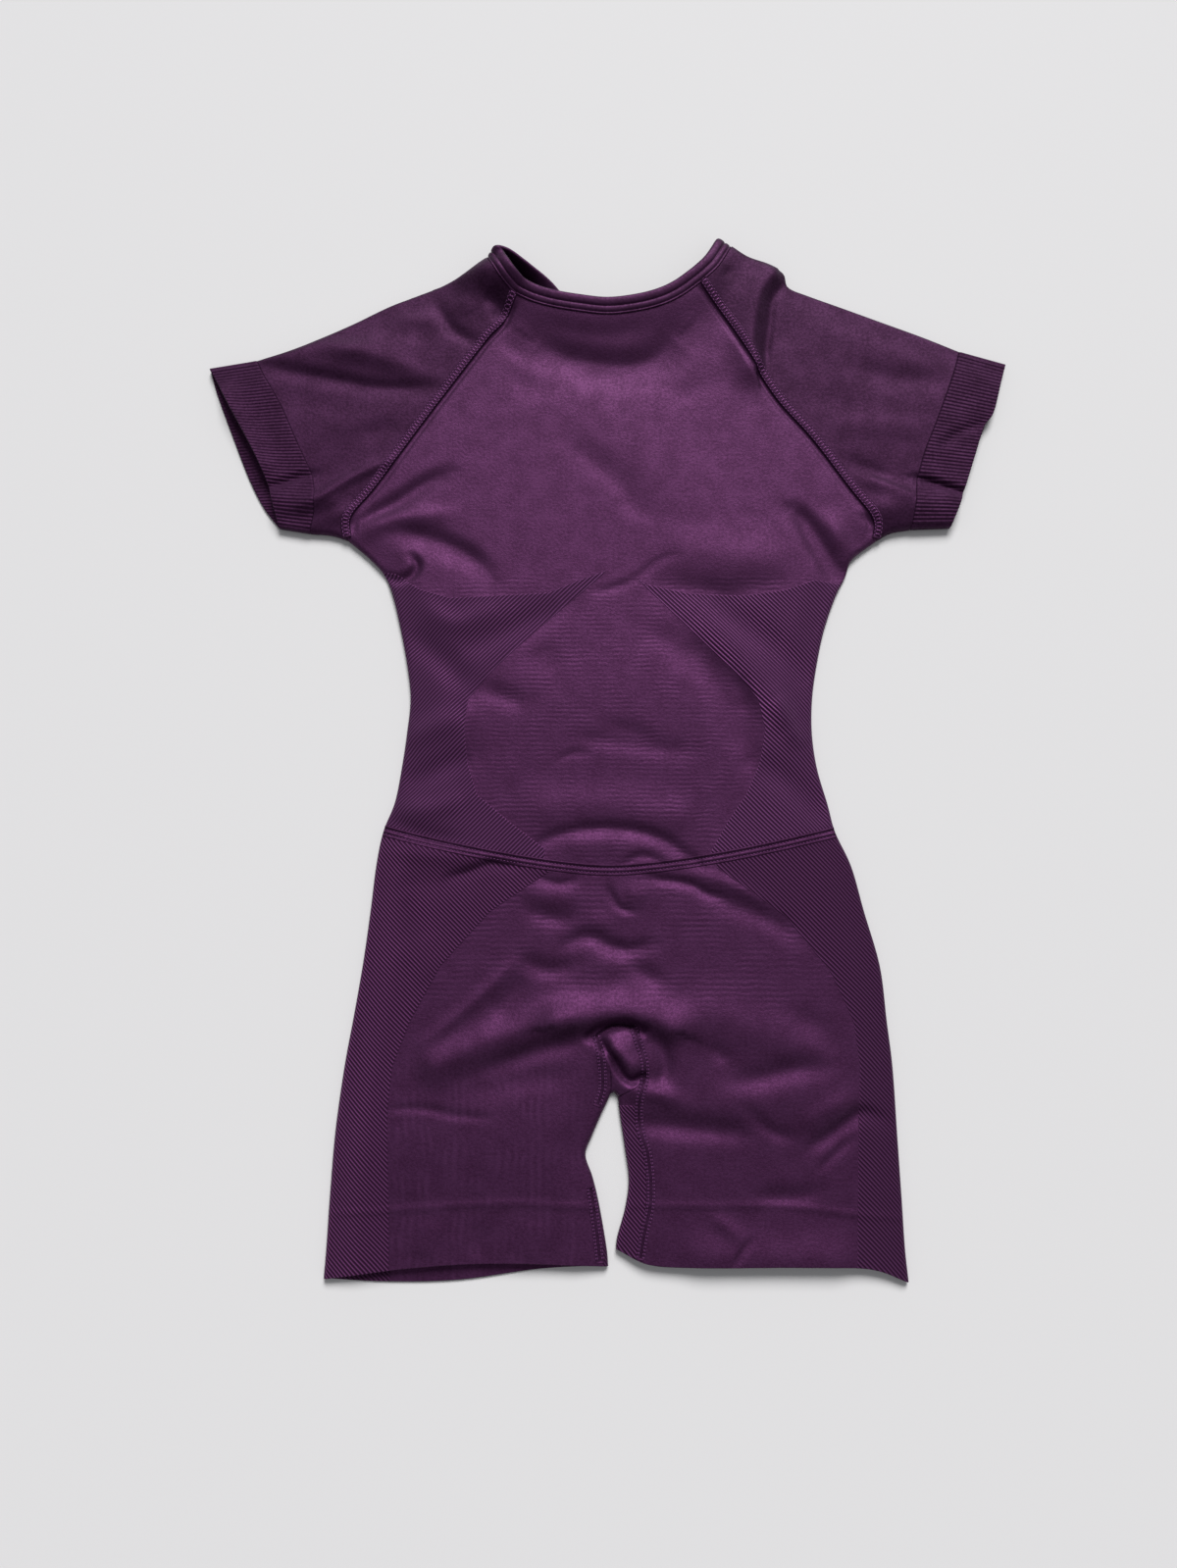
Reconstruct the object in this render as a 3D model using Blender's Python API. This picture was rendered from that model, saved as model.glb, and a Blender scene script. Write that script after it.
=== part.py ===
"""Short-sleeved raglan yoga bodysuit with shorts, laid flat with its back up.

The tables are in millimetres and the meshes in metres. X runs from the left sleeve to the right one as
seen from above, Y from the hems to the neck, and Z up from the surface it lies on, with the origin under
the middle of the garment.

Every piece is a closed wall of knit. The upper layer follows one height field, so that neighbouring
pieces meet at one level, and the lower layer lies flat on the surface. The two layers join in side folds.
"""

import math
from collections import namedtuple

import bmesh
import bpy
from mathutils import Vector

MM = 0.001

# Cloth
WALL = 1.2
SEAM_GAP = 0.3
FLAT_HEIGHT = 5.4
LEAST_HEIGHT = 3.4
CRISP = 1.6
ROUNDNESS = 0.9
SLOPE_REACH = 0.4
SHARP_ANGLE = math.radians(50)

# How finely the walls are divided, and the narrow steps in from a crisp, a thick and a curled fold
BODY_COLUMNS = 24
UNDER_COLUMNS = 8
TORSO_ROWS = 14
RAGLAN_ROWS = 14
NECK_COLUMNS = 5
SLEEVE_ROWS = 9
HIP_ROWS = 10
GUSSET_ROWS = 4
LEG_ROWS = 8
LEG_COLUMNS = 11
UNDER_LEG_COLUMNS = 6
CRISP_STEPS = (1.5,)
THICK_STEPS = (3.0, 4.0, 5.0)
CURL_STEPS = (2.0, 3.5)

# Neck binding: a folded band that stands proud of the cloth it is sewn to
BINDING_WIDTH = 10.0
BINDING_THICKNESS = 2.4
BINDING_PROUD = 0.6
BINDING_CHAMFER = 0.6

# Ribbed cuffs
RIBS_ON_FACE = 42
RIB_HEIGHT = 0.5
CUFF_UNDER_COLUMNS = 21

# Waist seam: a shallow V that hangs between the side folds
WAIST_LEFT = (-125.0, -56.0)
WAIST_RIGHT = (129.0, -56.0)
WAIST_DIP = 22.0
WAIST_SHARPNESS = 1.5

# Side folds of the tubes, from the hems up: a row for each section
Section = namedtuple("Section", "y left right")
BODICE_SECTIONS = [
    Section(-56, -125, 129),
    Section(-40, -119, 125),
    Section(-20, -115.5, 119.5),
    Section(0, -113, 117),
    Section(20, -111.5, 117.5),
    Section(40, -114, 120.5),
    Section(60, -118, 125),
    Section(80, -123, 132),
    Section(92, -128, 138),
    Section(102, -137, 142),
    Section(113, -150, 156),
]
SHORTS_SECTIONS = [
    Section(-297.5, -151, 163),
    Section(-280, -150, 161.5),
    Section(-255, -149, 160.5),
    Section(-220, -147, 159),
    Section(-185, -143, 157.5),
    Section(-160, -139, 155),
    Section(-130, -134.5, 152),
    Section(-100, -131, 144),
    Section(-75, -128.5, 137.5),
    Section(-56, -125, 129),
]

# Side folds of the sleeves, from the cuff to the neck and to the underarm: x, y, height of the fold
LEFT_SHOULDER = [
    (-207, 223, CRISP),
    (-191, 228, CRISP),
    (-174, 235, CRISP),
    (-151, 246, CRISP),
    (-128, 258, CRISP),
    (-105, 267, CRISP),
    (-88, 275, 3),
    (-72, 285, 6),
]
LEFT_UNDERARM = [(-172, 117, CRISP), (-160, 116, CRISP), (-150, 113, CRISP)]
RIGHT_SHOULDER = [
    (208, 229, CRISP),
    (187, 238, CRISP),
    (164, 247, CRISP),
    (141, 256, CRISP),
    (120, 264, CRISP),
    (108, 269, 2.5),
    (105, 277, 4),
    (96, 283, 4),
    (84, 288, 4),
    (75, 294, 4),
]
RIGHT_UNDERARM = [(176, 120, CRISP), (165, 118, CRISP), (156, 113, CRISP)]

# Edges of the cuffs: the seam with the sleeve, the open edge above, and the open edge below
LEFT_CUFF_SEAM = [(-207, 223), (-202, 213), (-191, 194), (-181, 172), (-171, 150), (-169, 133), (-172, 117)]
LEFT_CUFF_TOP = [(-235, 218), (-228, 206), (-218, 188), (-208, 170), (-200, 154), (-195, 140), (-190, 120)]
LEFT_CUFF_UNDER = [(-235, 218), (-230, 202), (-219, 174), (-209, 150), (-200, 133), (-190, 120)]
RIGHT_CUFF_SEAM = [(208, 229), (203, 213), (193, 186), (185, 166), (180, 148), (178, 133), (176, 120)]
RIGHT_CUFF_TOP = [(235, 221), (231, 208), (226, 190), (220, 181), (214, 163), (206, 139), (199, 121)]
RIGHT_CUFF_UNDER = [(235, 221), (230, 206), (221, 181), (212, 158), (204, 137), (199, 121)]

# Seams of the upper body, seen from above: the raglans from the underarm up, the neckline from left to right
LEFT_RAGLAN_BACK = [
    (-150, 113), (-150, 127), (-135, 147), (-109, 185), (-89, 213), (-72, 236), (-63, 247), (-56, 264),
]
RIGHT_RAGLAN_BACK = [
    (156, 113), (156, 126), (141, 148), (121, 176), (101, 200), (84, 228), (72, 248), (57, 268),
]
LEFT_RAGLAN_FRONT = [(-150, 113), (-135, 143), (-109, 182), (-89, 212), (-70, 243), (-52, 274)]
RIGHT_RAGLAN_FRONT = [(156, 113), (141, 146), (121, 174), (101, 199), (83, 236), (65, 273)]
NECK_BACK = [
    (-56, 264), (-44, 258), (-32, 252.5), (-18, 249), (0, 247), (18, 249), (33, 253), (45, 259), (57, 268),
]
NECK_FRONT = [(-52, 274), (-36, 257), (-22, 241), (-4, 227), (14, 224), (32, 235), (48, 251), (65, 273)]
LEFT_NECK_TOP = [(-72, 285), (-69, 279), (-64, 271.5), (-56, 264)]
LEFT_NECK_UNDER = [(-72, 285), (-66, 283.5), (-58, 279), (-52, 274)]
RIGHT_NECK_TOP = [(75, 294), (71, 286), (65, 276), (57, 268)]
RIGHT_NECK_UNDER = [(75, 294), (73, 287), (70, 280), (65, 273)]

# Crotch: the line across the hips at the gusset's arch, the gusset's seams from there down to the fold,
# and the inner folds of the legs
ARCH_SIDE_Y = -172.0
ARCH_LEFT_HIP = (-70.0, -169.0)
ARCH_LEFT = (-5.0, -168.0)
ARCH_TOP = (4.5, -162.5)
ARCH_RIGHT = (16.0, -163.0)
ARCH_RIGHT_HIP = (80.0, -168.0)
LEFT_INSEAM = [ARCH_LEFT, (-3, -179), (-2, -191), (-2, -202)]
RIGHT_INSEAM = [ARCH_RIGHT, (19, -175), (23, -186), (19, -197), (8, -204)]
CROTCH_FOLD = [(-2, -202), (3.5, -200.5), (8, -204)]
LEFT_INNER_LEG = [
    (-2, -202), (-2, -211), (-7, -221), (-10, -231), (-5, -242), (-2, -258), (1, -280), (2, -290),
]
RIGHT_INNER_LEG = [(8, -204), (8, -212), (11, -229), (13, -245), (11, -260), (7, -274), (6, -281)]
LEFT_HEM_TOP = [(-151, -297.5), (-112, -292), (-76, -289), (-40, -288.5), (2, -290)]
LEFT_HEM_UNDER = [(-151, -297.5), (-119, -299), (-79, -298), (-35, -292), (2, -290)]
RIGHT_HEM_TOP = [(6, -281), (26, -289), (60, -289.5), (103, -289), (141, -290), (163, -297.5)]
RIGHT_HEM_UNDER = [(6, -281), (26, -287), (60, -288), (103, -288), (141, -290), (163, -297.5)]

# Largest creases and mounds of the upper layer: a line, its half width, and its rise, below zero a depth
Crease = namedtuple("Crease", "x1 y1 x2 y2 width rise")
CREASES = [
    # sleeves
    Crease(-195, 224, -118, 232, 11, 2.5),
    Crease(-175, 212, -108, 207, 10, -1.8),
    Crease(-100, 262, -87, 244, 10, -1.8),
    Crease(-188, 134, -155, 131, 13, 5.0),
    Crease(-64, 277, -70, 276, 14, 8.5),
    Crease(196, 131, 158, 129, 13, 5.5),
    Crease(97, 271, 88, 232, 9, 7.0),
    Crease(112, 258, 104, 232, 11, -1.6),
    Crease(70, 287, 66, 283, 11, 2.4),
    # back
    Crease(-38, 248, 30, 246, 10, -0.6),
    Crease(-40, 240, 36, 232, 14, -2.0),
    Crease(-60, 215, 70, 215, 30, 2.0),
    Crease(-148, 126, -101, 152, 11, 5.0),
    Crease(-121, 119, -83, 104, 10, 3.6),
    Crease(-126, 94, -106, 103, 9, 3.4),
    Crease(150, 126, 134, 110, 10, 5.0),
    Crease(116, 136, 132, 104, 10, -1.6),
    Crease(-20, 150, 30, 120, 16, 1.6),
    Crease(0, 96, 48, 84, 12, 2.0),
    Crease(-60, 20, 60, 20, 40, 1.2),
    # waist
    Crease(-38, -60, 30, -57, 11, 3.6),
    Crease(-8, -92, 60, -86, 11, 2.4),
    # shorts
    Crease(-90, -150, -52, -136, 13, 3.0),
    Crease(-72, -180, -22, -170, 11, -1.8),
    Crease(-26, -157, 30, -154, 11, 5.0),
    Crease(60, -172, 126, -182, 13, -1.8),
    Crease(70, -204, 118, -200, 15, 2.6),
    Crease(116, -228, 138, -204, 11, 2.0),
    Crease(58, -287, 122, -288, 14, 3.6),
    Crease(-120, -230, -30, -228, 40, 1.2),
]

Look = namedtuple("Look", "colour roughness")
LOOKS = {
    "knit": Look((0.085, 0.022, 0.078), 0.82),
    "rib": Look((0.060, 0.018, 0.060), 0.86),
    "binding": Look((0.070, 0.020, 0.066), 0.78),
}


def dense(points, steps=8):
    """A smooth curve through the points, as a polyline with this many steps to each stretch."""
    points = [Vector(point) for point in points]
    ends = [points[0] * 2 - points[1]] + points + [points[-1] * 2 - points[-2]]
    curve = [points[0]]
    for before, start, end, after in zip(ends, ends[1:], ends[2:], ends[3:]):
        for step in range(1, steps + 1):
            t = step / steps
            pull = (end - before) * t + (before * 2 - start * 5 + end * 4 - after) * t * t
            curve.append(start + (pull + (start * 3 - before - end * 3 + after) * t ** 3) / 2)
    return curve


def along(points, fractions):
    """Points of the smooth curve at these fractions of its length."""
    curve = dense(points)
    lengths = [0.0]
    for a, b in zip(curve, curve[1:]):
        lengths.append(lengths[-1] + (b - a).length)
    found = []
    for fraction in fractions:
        target = fraction * lengths[-1]
        k = 0
        while k < len(curve) - 2 and lengths[k + 1] < target:
            k += 1
        share = (target - lengths[k]) / (lengths[k + 1] - lengths[k])
        found.append(curve[k].lerp(curve[k + 1], min(max(share, 0.0), 1.0)))
    return found


def length_of(points):
    curve = dense(points)
    return sum((b - a).length for a, b in zip(curve, curve[1:]))


def evenly(count):
    return [k / count for k in range(count + 1)]


def spread(points, count, first=(), last=()):
    """Points along the curve, evenly but for the steps given next to an end that is a fold."""
    length = length_of(points)
    start = [sum(first[:k]) / length for k in range(len(first))]
    end = [1.0 - sum(last[:k]) / length for k in reversed(range(len(last)))]
    low, high = sum(first) / length, 1.0 - sum(last) / length
    middle = [low + (high - low) * share for share in evenly(count - len(first) - len(last))]
    return along(points, start + middle + end)


def side(sections, name, from_y=-math.inf, to_y=math.inf):
    """The side fold of a table of sections, or its stretch between two levels."""
    points = [Vector((getattr(row, name), row.y)) for row in sections]
    stretch = [point for point in points if from_y < point.y < to_y]
    for level, place in ((from_y, 0), (to_y, len(stretch) + 1)):
        for a, b in zip(points, points[1:]):
            if a.y < level < b.y:
                stretch.insert(place, a.lerp(b, (level - a.y) / (b.y - a.y)))
    return stretch


def waist_seam():
    left, right = Vector(WAIST_LEFT), Vector(WAIST_RIGHT)
    points = []
    for share in evenly(12):
        dip = WAIST_DIP * (1 - abs(2 * share - 1) ** WAIST_SHARPNESS)
        points.append(left.lerp(right, share) - Vector((0, dip)))
    return points


def flat(points):
    return [point[:2] for point in points]


# Every fold where the upper layer turns into the lower one: x, y, height of the fold
SIDE_FOLDS = [
    [(row.left, row.y, CRISP) for row in SHORTS_SECTIONS + BODICE_SECTIONS[1:]],
    [(row.right, row.y, CRISP) for row in SHORTS_SECTIONS + BODICE_SECTIONS[1:]],
    LEFT_SHOULDER,
    RIGHT_SHOULDER,
    LEFT_UNDERARM,
    RIGHT_UNDERARM,
    [LEFT_CUFF_TOP[0] + (CRISP,), LEFT_SHOULDER[0]],
    [RIGHT_CUFF_TOP[0] + (CRISP,), RIGHT_SHOULDER[0]],
    [LEFT_CUFF_TOP[-1] + (CRISP,), LEFT_UNDERARM[0]],
    [RIGHT_CUFF_TOP[-1] + (CRISP,), RIGHT_UNDERARM[0]],
    [point + (CRISP,) for point in LEFT_INNER_LEG],
    [point + (CRISP,) for point in RIGHT_INNER_LEG],
    [point + (CRISP,) for point in CROTCH_FOLD],
]
FOLD_CURVES = [dense(points) for points in SIDE_FOLDS]


def nearest_fold(x, y):
    """The distance to the nearest side fold, and the height of that fold there."""
    best, height = 1e9, CRISP
    for curve in FOLD_CURVES:
        for a, b in zip(curve, curve[1:]):
            dx, dy = b.x - a.x, b.y - a.y
            share = ((x - a.x) * dx + (y - a.y) * dy) / (dx * dx + dy * dy)
            share = min(max(share, 0.0), 1.0)
            gap = math.hypot(a.x + dx * share - x, a.y + dy * share - y)
            if gap < best:
                best, height = gap, a.z + (b.z - a.z) * share
    return best, height


def rise(x, y):
    """Height of the upper layer's outside where no side fold is near."""
    total = FLAT_HEIGHT
    for crease in CREASES:
        dx, dy = crease.x2 - crease.x1, crease.y2 - crease.y1
        share = ((x - crease.x1) * dx + (y - crease.y1) * dy) / (dx * dx + dy * dy)
        share = min(max(share, 0.0), 1.0)
        gap = math.hypot(crease.x1 + dx * share - x, crease.y1 + dy * share - y)
        total += crease.rise * math.exp(-((gap / crease.width) ** 2))
    return max(total, LEAST_HEIGHT)


def rounded(distance, radius):
    """Share of the way up or down a round fold at this distance from its edge."""
    inward = max(1.0 - distance / radius, 0.0)
    return math.sqrt(1.0 - inward * inward)


def upper(x, y):
    distance, fold = nearest_fold(x, y)
    high = rise(x, y)
    return fold + (high - fold) * rounded(distance, ROUNDNESS * high)


def lower(x, y):
    distance, fold = nearest_fold(x, y)
    if fold < CRISP + 0.01:
        return 0.0
    return fold * (1.0 - rounded(distance, ROUNDNESS * fold))


def normal_of(surface, x, y):
    slope_x = (surface(x + SLOPE_REACH, y) - surface(x - SLOPE_REACH, y)) / (2 * SLOPE_REACH)
    slope_y = (surface(x, y + SLOPE_REACH) - surface(x, y - SLOPE_REACH)) / (2 * SLOPE_REACH)
    return Vector((-slope_x, -slope_y, 1.0)).normalized()


def upper_pair(point):
    """The outer and the inner point of the wall in the upper layer."""
    outer = Vector((point[0], point[1], upper(point[0], point[1])))
    return outer, outer - normal_of(upper, point[0], point[1]) * WALL


def lower_pair(point):
    outer = Vector((point[0], point[1], lower(point[0], point[1])))
    return outer, outer + normal_of(lower, point[0], point[1]) * WALL


def fold_pair(point, inward):
    """The outer and the inner point on a side fold, where inward points into the piece."""
    outer = Vector((point[0], point[1], nearest_fold(point[0], point[1])[1]))
    step = Vector((inward[0], inward[1], 0)).normalized() * WALL
    return outer, outer + step


def patch(near, far, left, right):
    """A grid of points between four edges, rows from near to far, columns from left to right."""
    def shares(edge):
        total = [0.0]
        for a, b in zip(edge, edge[1:]):
            total.append(total[-1] + (b - a).length)
        return [part / total[-1] for part in total]

    near_share, far_share = shares(near), shares(far)
    left_share, right_share = shares(left), shares(right)
    grid = []
    for i in range(len(left)):
        row = []
        for j in range(len(near)):
            v = left_share[i] + (right_share[i] - left_share[i]) * j / (len(near) - 1)
            u = near_share[j] + (far_share[j] - near_share[j]) * v
            corners = (near[0] * (1 - u) + near[-1] * u) * (1 - v) + (far[0] * (1 - u) + far[-1] * u) * v
            row.append(near[j] * (1 - v) + far[j] * v + left[i] * (1 - u) + right[i] * u - corners)
        grid.append(row)
    return grid


def drawn_in(edge, inner, gap=SEAM_GAP / 2):
    """The edge moved by the gap towards the neighbouring line of points inside the piece."""
    moved = []
    for k, point in enumerate(edge):
        run = edge[min(k + 1, len(edge) - 1)] - edge[max(k - 1, 0)]
        across = Vector((-run.y, run.x)).normalized()
        if across.dot(inner[k] - point) < 0:
            across = -across
        moved.append(point + across * gap)
    return moved


def trim_rows(grid, first=True, last=True):
    """Draws in the first and the last row of a grid."""
    if first:
        grid[0] = drawn_in(grid[0], grid[1])
    if last:
        grid[-1] = drawn_in(grid[-1], grid[-2])


def trim_columns(grid, rows, first=True, last=True):
    """Draws in the first and the last column over a range of rows."""
    for wanted, edge, inner in ((first, 0, 1), (last, -1, -2)):
        if wanted:
            column = drawn_in([grid[i][edge] for i in rows], [grid[i][inner] for i in rows])
            for i, point in zip(rows, column):
                grid[i][edge] = point


class Cloth:
    """A wall of cloth: outer points, the inner point behind each of them, and faces between them."""

    def __init__(self):
        self.outer = []
        self.inner = []
        self.faces = []

    def add(self, pair):
        self.outer.append(pair[0])
        self.inner.append(pair[1])
        return len(self.outer) - 1

    def skin(self, rows):
        """Faces between the points of neighbouring rows."""
        for row, after in zip(rows, rows[1:]):
            for j in range(len(row) - 1):
                self.faces.append((row[j], row[j + 1], after[j + 1], after[j]))

    def layer(self, grid, pair, shared=None):
        """Adds a grid of points and its faces, taking those in shared from another layer."""
        shared = shared or {}
        rows = []
        for i, row in enumerate(grid):
            rows.append([shared[i, j] if (i, j) in shared else self.add(pair(p)) for j, p in enumerate(row)])
        self.skin(rows)
        return rows

    def object(self, name, look):
        """The closed wall as an object: outside, inside and a rim along every open edge."""
        count = len(self.outer)
        mesh = bmesh.new()
        points = [mesh.verts.new(point * MM) for point in self.outer + self.inner]
        uses = {}
        for face in self.faces:
            mesh.faces.new([points[k] for k in face])
            mesh.faces.new([points[k + count] for k in reversed(face)])
            for a, b in zip(face, face[1:] + face[:1]):
                uses.setdefault(frozenset((a, b)), []).append((a, b))
        for sides in uses.values():
            if len(sides) == 1:
                a, b = sides[0]
                mesh.faces.new((points[b], points[a], points[a + count], points[b + count]))
        bmesh.ops.recalc_face_normals(mesh, faces=mesh.faces)
        return finish(mesh, name, look)


def finish(mesh, name, look):
    data = bpy.data.meshes.new(name)
    mesh.to_mesh(data)
    mesh.free()
    data.shade_smooth()
    data.set_sharp_from_angle(angle=SHARP_ANGLE)
    data.materials.append(material(look))
    made = bpy.data.objects.new(name, data)
    collection.objects.link(made)
    return made


def material(name):
    if name in bpy.data.materials:
        return bpy.data.materials[name]
    made = bpy.data.materials.new(name)
    made.use_nodes = True
    shader = made.node_tree.nodes["Principled BSDF"]
    shader.inputs["Base Color"].default_value = (*LOOKS[name].colour, 1.0)
    shader.inputs["Roughness"].default_value = LOOKS[name].roughness
    shader.inputs["Metallic"].default_value = 0.0
    made.diffuse_color = (*LOOKS[name].colour, 1.0)
    return made


def folded_sides(cloth, upper_grid, lower_grid, rows, left=True, right=True):
    """Adds the points on the side folds of both grids, and says which grid places they fill."""
    upper_shared, lower_shared = {}, {}
    for i in rows:
        for wanted, edge in ((left, 0), (right, -1)):
            if not wanted:
                continue
            row = upper_grid[i]
            index = cloth.add(fold_pair(row[edge], row[1 if edge == 0 else -2] - row[edge]))
            upper_shared[i, edge % len(row)] = index
            lower_shared[i, edge % len(lower_grid[i])] = index
    return upper_shared, lower_shared


def bodice():
    """One knitted tube up to the underarms, then a back and a front panel between the raglans."""
    underarm = [LEFT_RAGLAN_BACK[0], RIGHT_RAGLAN_BACK[0]]
    sides = [spread(side(BODICE_SECTIONS, name), TORSO_ROWS) for name in ("left", "right")]
    grids = []
    for columns, raglans, neck in (
        (BODY_COLUMNS, (LEFT_RAGLAN_BACK, RIGHT_RAGLAN_BACK), NECK_BACK),
        (UNDER_COLUMNS, (LEFT_RAGLAN_FRONT, RIGHT_RAGLAN_FRONT), NECK_FRONT),
    ):
        across = spread(underarm, columns, CRISP_STEPS, CRISP_STEPS)
        torso = patch(spread(waist_seam(), columns, CRISP_STEPS, CRISP_STEPS), across, *sides)
        seams = [spread(line, RAGLAN_ROWS, THICK_STEPS) for line in raglans]
        chest = patch(across, spread(neck, columns), *seams)
        grid = torso + chest[1:]
        trim_columns(grid, range(TORSO_ROWS, len(grid)))
        trim_rows(grid)
        grids.append(grid)
    back, front = grids
    for i in range(TORSO_ROWS + 1):
        front[i][0], front[i][-1] = back[i][0], back[i][-1]
    cloth = Cloth()
    back_shared, front_shared = folded_sides(cloth, back, front, range(TORSO_ROWS + 1))
    cloth.layer(back, upper_pair, back_shared)
    cloth.layer(front, lower_pair, front_shared)
    return cloth.object("bodice", "knit")


def sleeve(name, shoulder, underarm, cuff_seam, necks, raglans):
    """A tube from the cuff to the slanting end that meets the neck binding and the bodice."""
    top = spread(flat(shoulder), SLEEVE_ROWS)
    bottom = spread(flat(underarm), SLEEVE_ROWS)
    grids = []
    for neck, raglan in zip(necks, raglans):
        columns = NECK_COLUMNS + RAGLAN_ROWS
        end = spread(neck, NECK_COLUMNS, CURL_STEPS) + spread(raglan, RAGLAN_ROWS, THICK_STEPS)[-2::-1]
        grid = patch(spread(cuff_seam, columns, CRISP_STEPS, THICK_STEPS), end, top, bottom)
        corner = grid[-1][NECK_COLUMNS]
        grid[-1] = drawn_in(grid[-1], grid[-2])
        toward_neck = (end[NECK_COLUMNS - 1] - corner).normalized()
        toward_raglan = (end[NECK_COLUMNS + 1] - corner).normalized()
        inward = grid[-2][NECK_COLUMNS] - corner
        grid[-1][NECK_COLUMNS] = corner + drawn_corner(toward_neck, toward_raglan, inward)
        grid[0] = drawn_in(grid[0], grid[1])
        grids.append(grid)
    over, under = grids
    for i in range(SLEEVE_ROWS + 1):
        under[i][0], under[i][-1] = over[i][0], over[i][-1]
    cloth = Cloth()
    over_shared, under_shared = folded_sides(cloth, over, under, range(SLEEVE_ROWS + 1))
    cloth.layer(over, upper_pair, over_shared)
    cloth.layer(under, lower_pair, under_shared)
    return cloth.object(name, "knit")


def drawn_corner(first, second, inward):
    """The step from a corner of two seams that leaves half the gap to both of them."""
    steps = []
    for run in (first, second):
        across = Vector((-run.y, run.x))
        steps.append(across if across.dot(inward) > 0 else -across)
    middle = (steps[0] + steps[1]).normalized()
    return middle * (SEAM_GAP / 2 / max(middle.dot(steps[0]), 0.5))


def cuff(name, seam, top_edge, under_edge):
    """A ribbed band: ribs are raised on the outside of its upper layer, over a plain inside."""
    cloth = Cloth()
    rings = []
    for edge, columns, pair, rib in (
        (top_edge, RIBS_ON_FACE * 2, upper_pair, RIB_HEIGHT),
        (under_edge, CUFF_UNDER_COLUMNS, lower_pair, 0.0),
    ):
        near = spread(seam, columns, CRISP_STEPS, CRISP_STEPS)
        far = spread(edge, columns, CRISP_STEPS, CRISP_STEPS)
        ends = [near[0].lerp(far[0], 0.5), near[-1].lerp(far[-1], 0.5)]
        grid = patch(near, far, [near[0], ends[0], far[0]], [near[-1], ends[1], far[-1]])
        trim_rows(grid, last=False)
        rings.append((grid, pair, rib))
    over, under = rings[0][0], rings[1][0]
    for i in range(len(over)):
        under[i][0], under[i][-1] = over[i][0], over[i][-1]
    shared = folded_sides(cloth, over, under, range(len(over)))
    for (grid, pair, rib), filled in zip(rings, shared):
        rows = cloth.layer(grid, pair, filled)
        for row in rows:
            for index in row[2:-2:2]:
                across = (cloth.outer[index] - cloth.inner[index]).normalized()
                cloth.outer[index] += across * rib
    return cloth.object(name, "rib")


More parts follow.
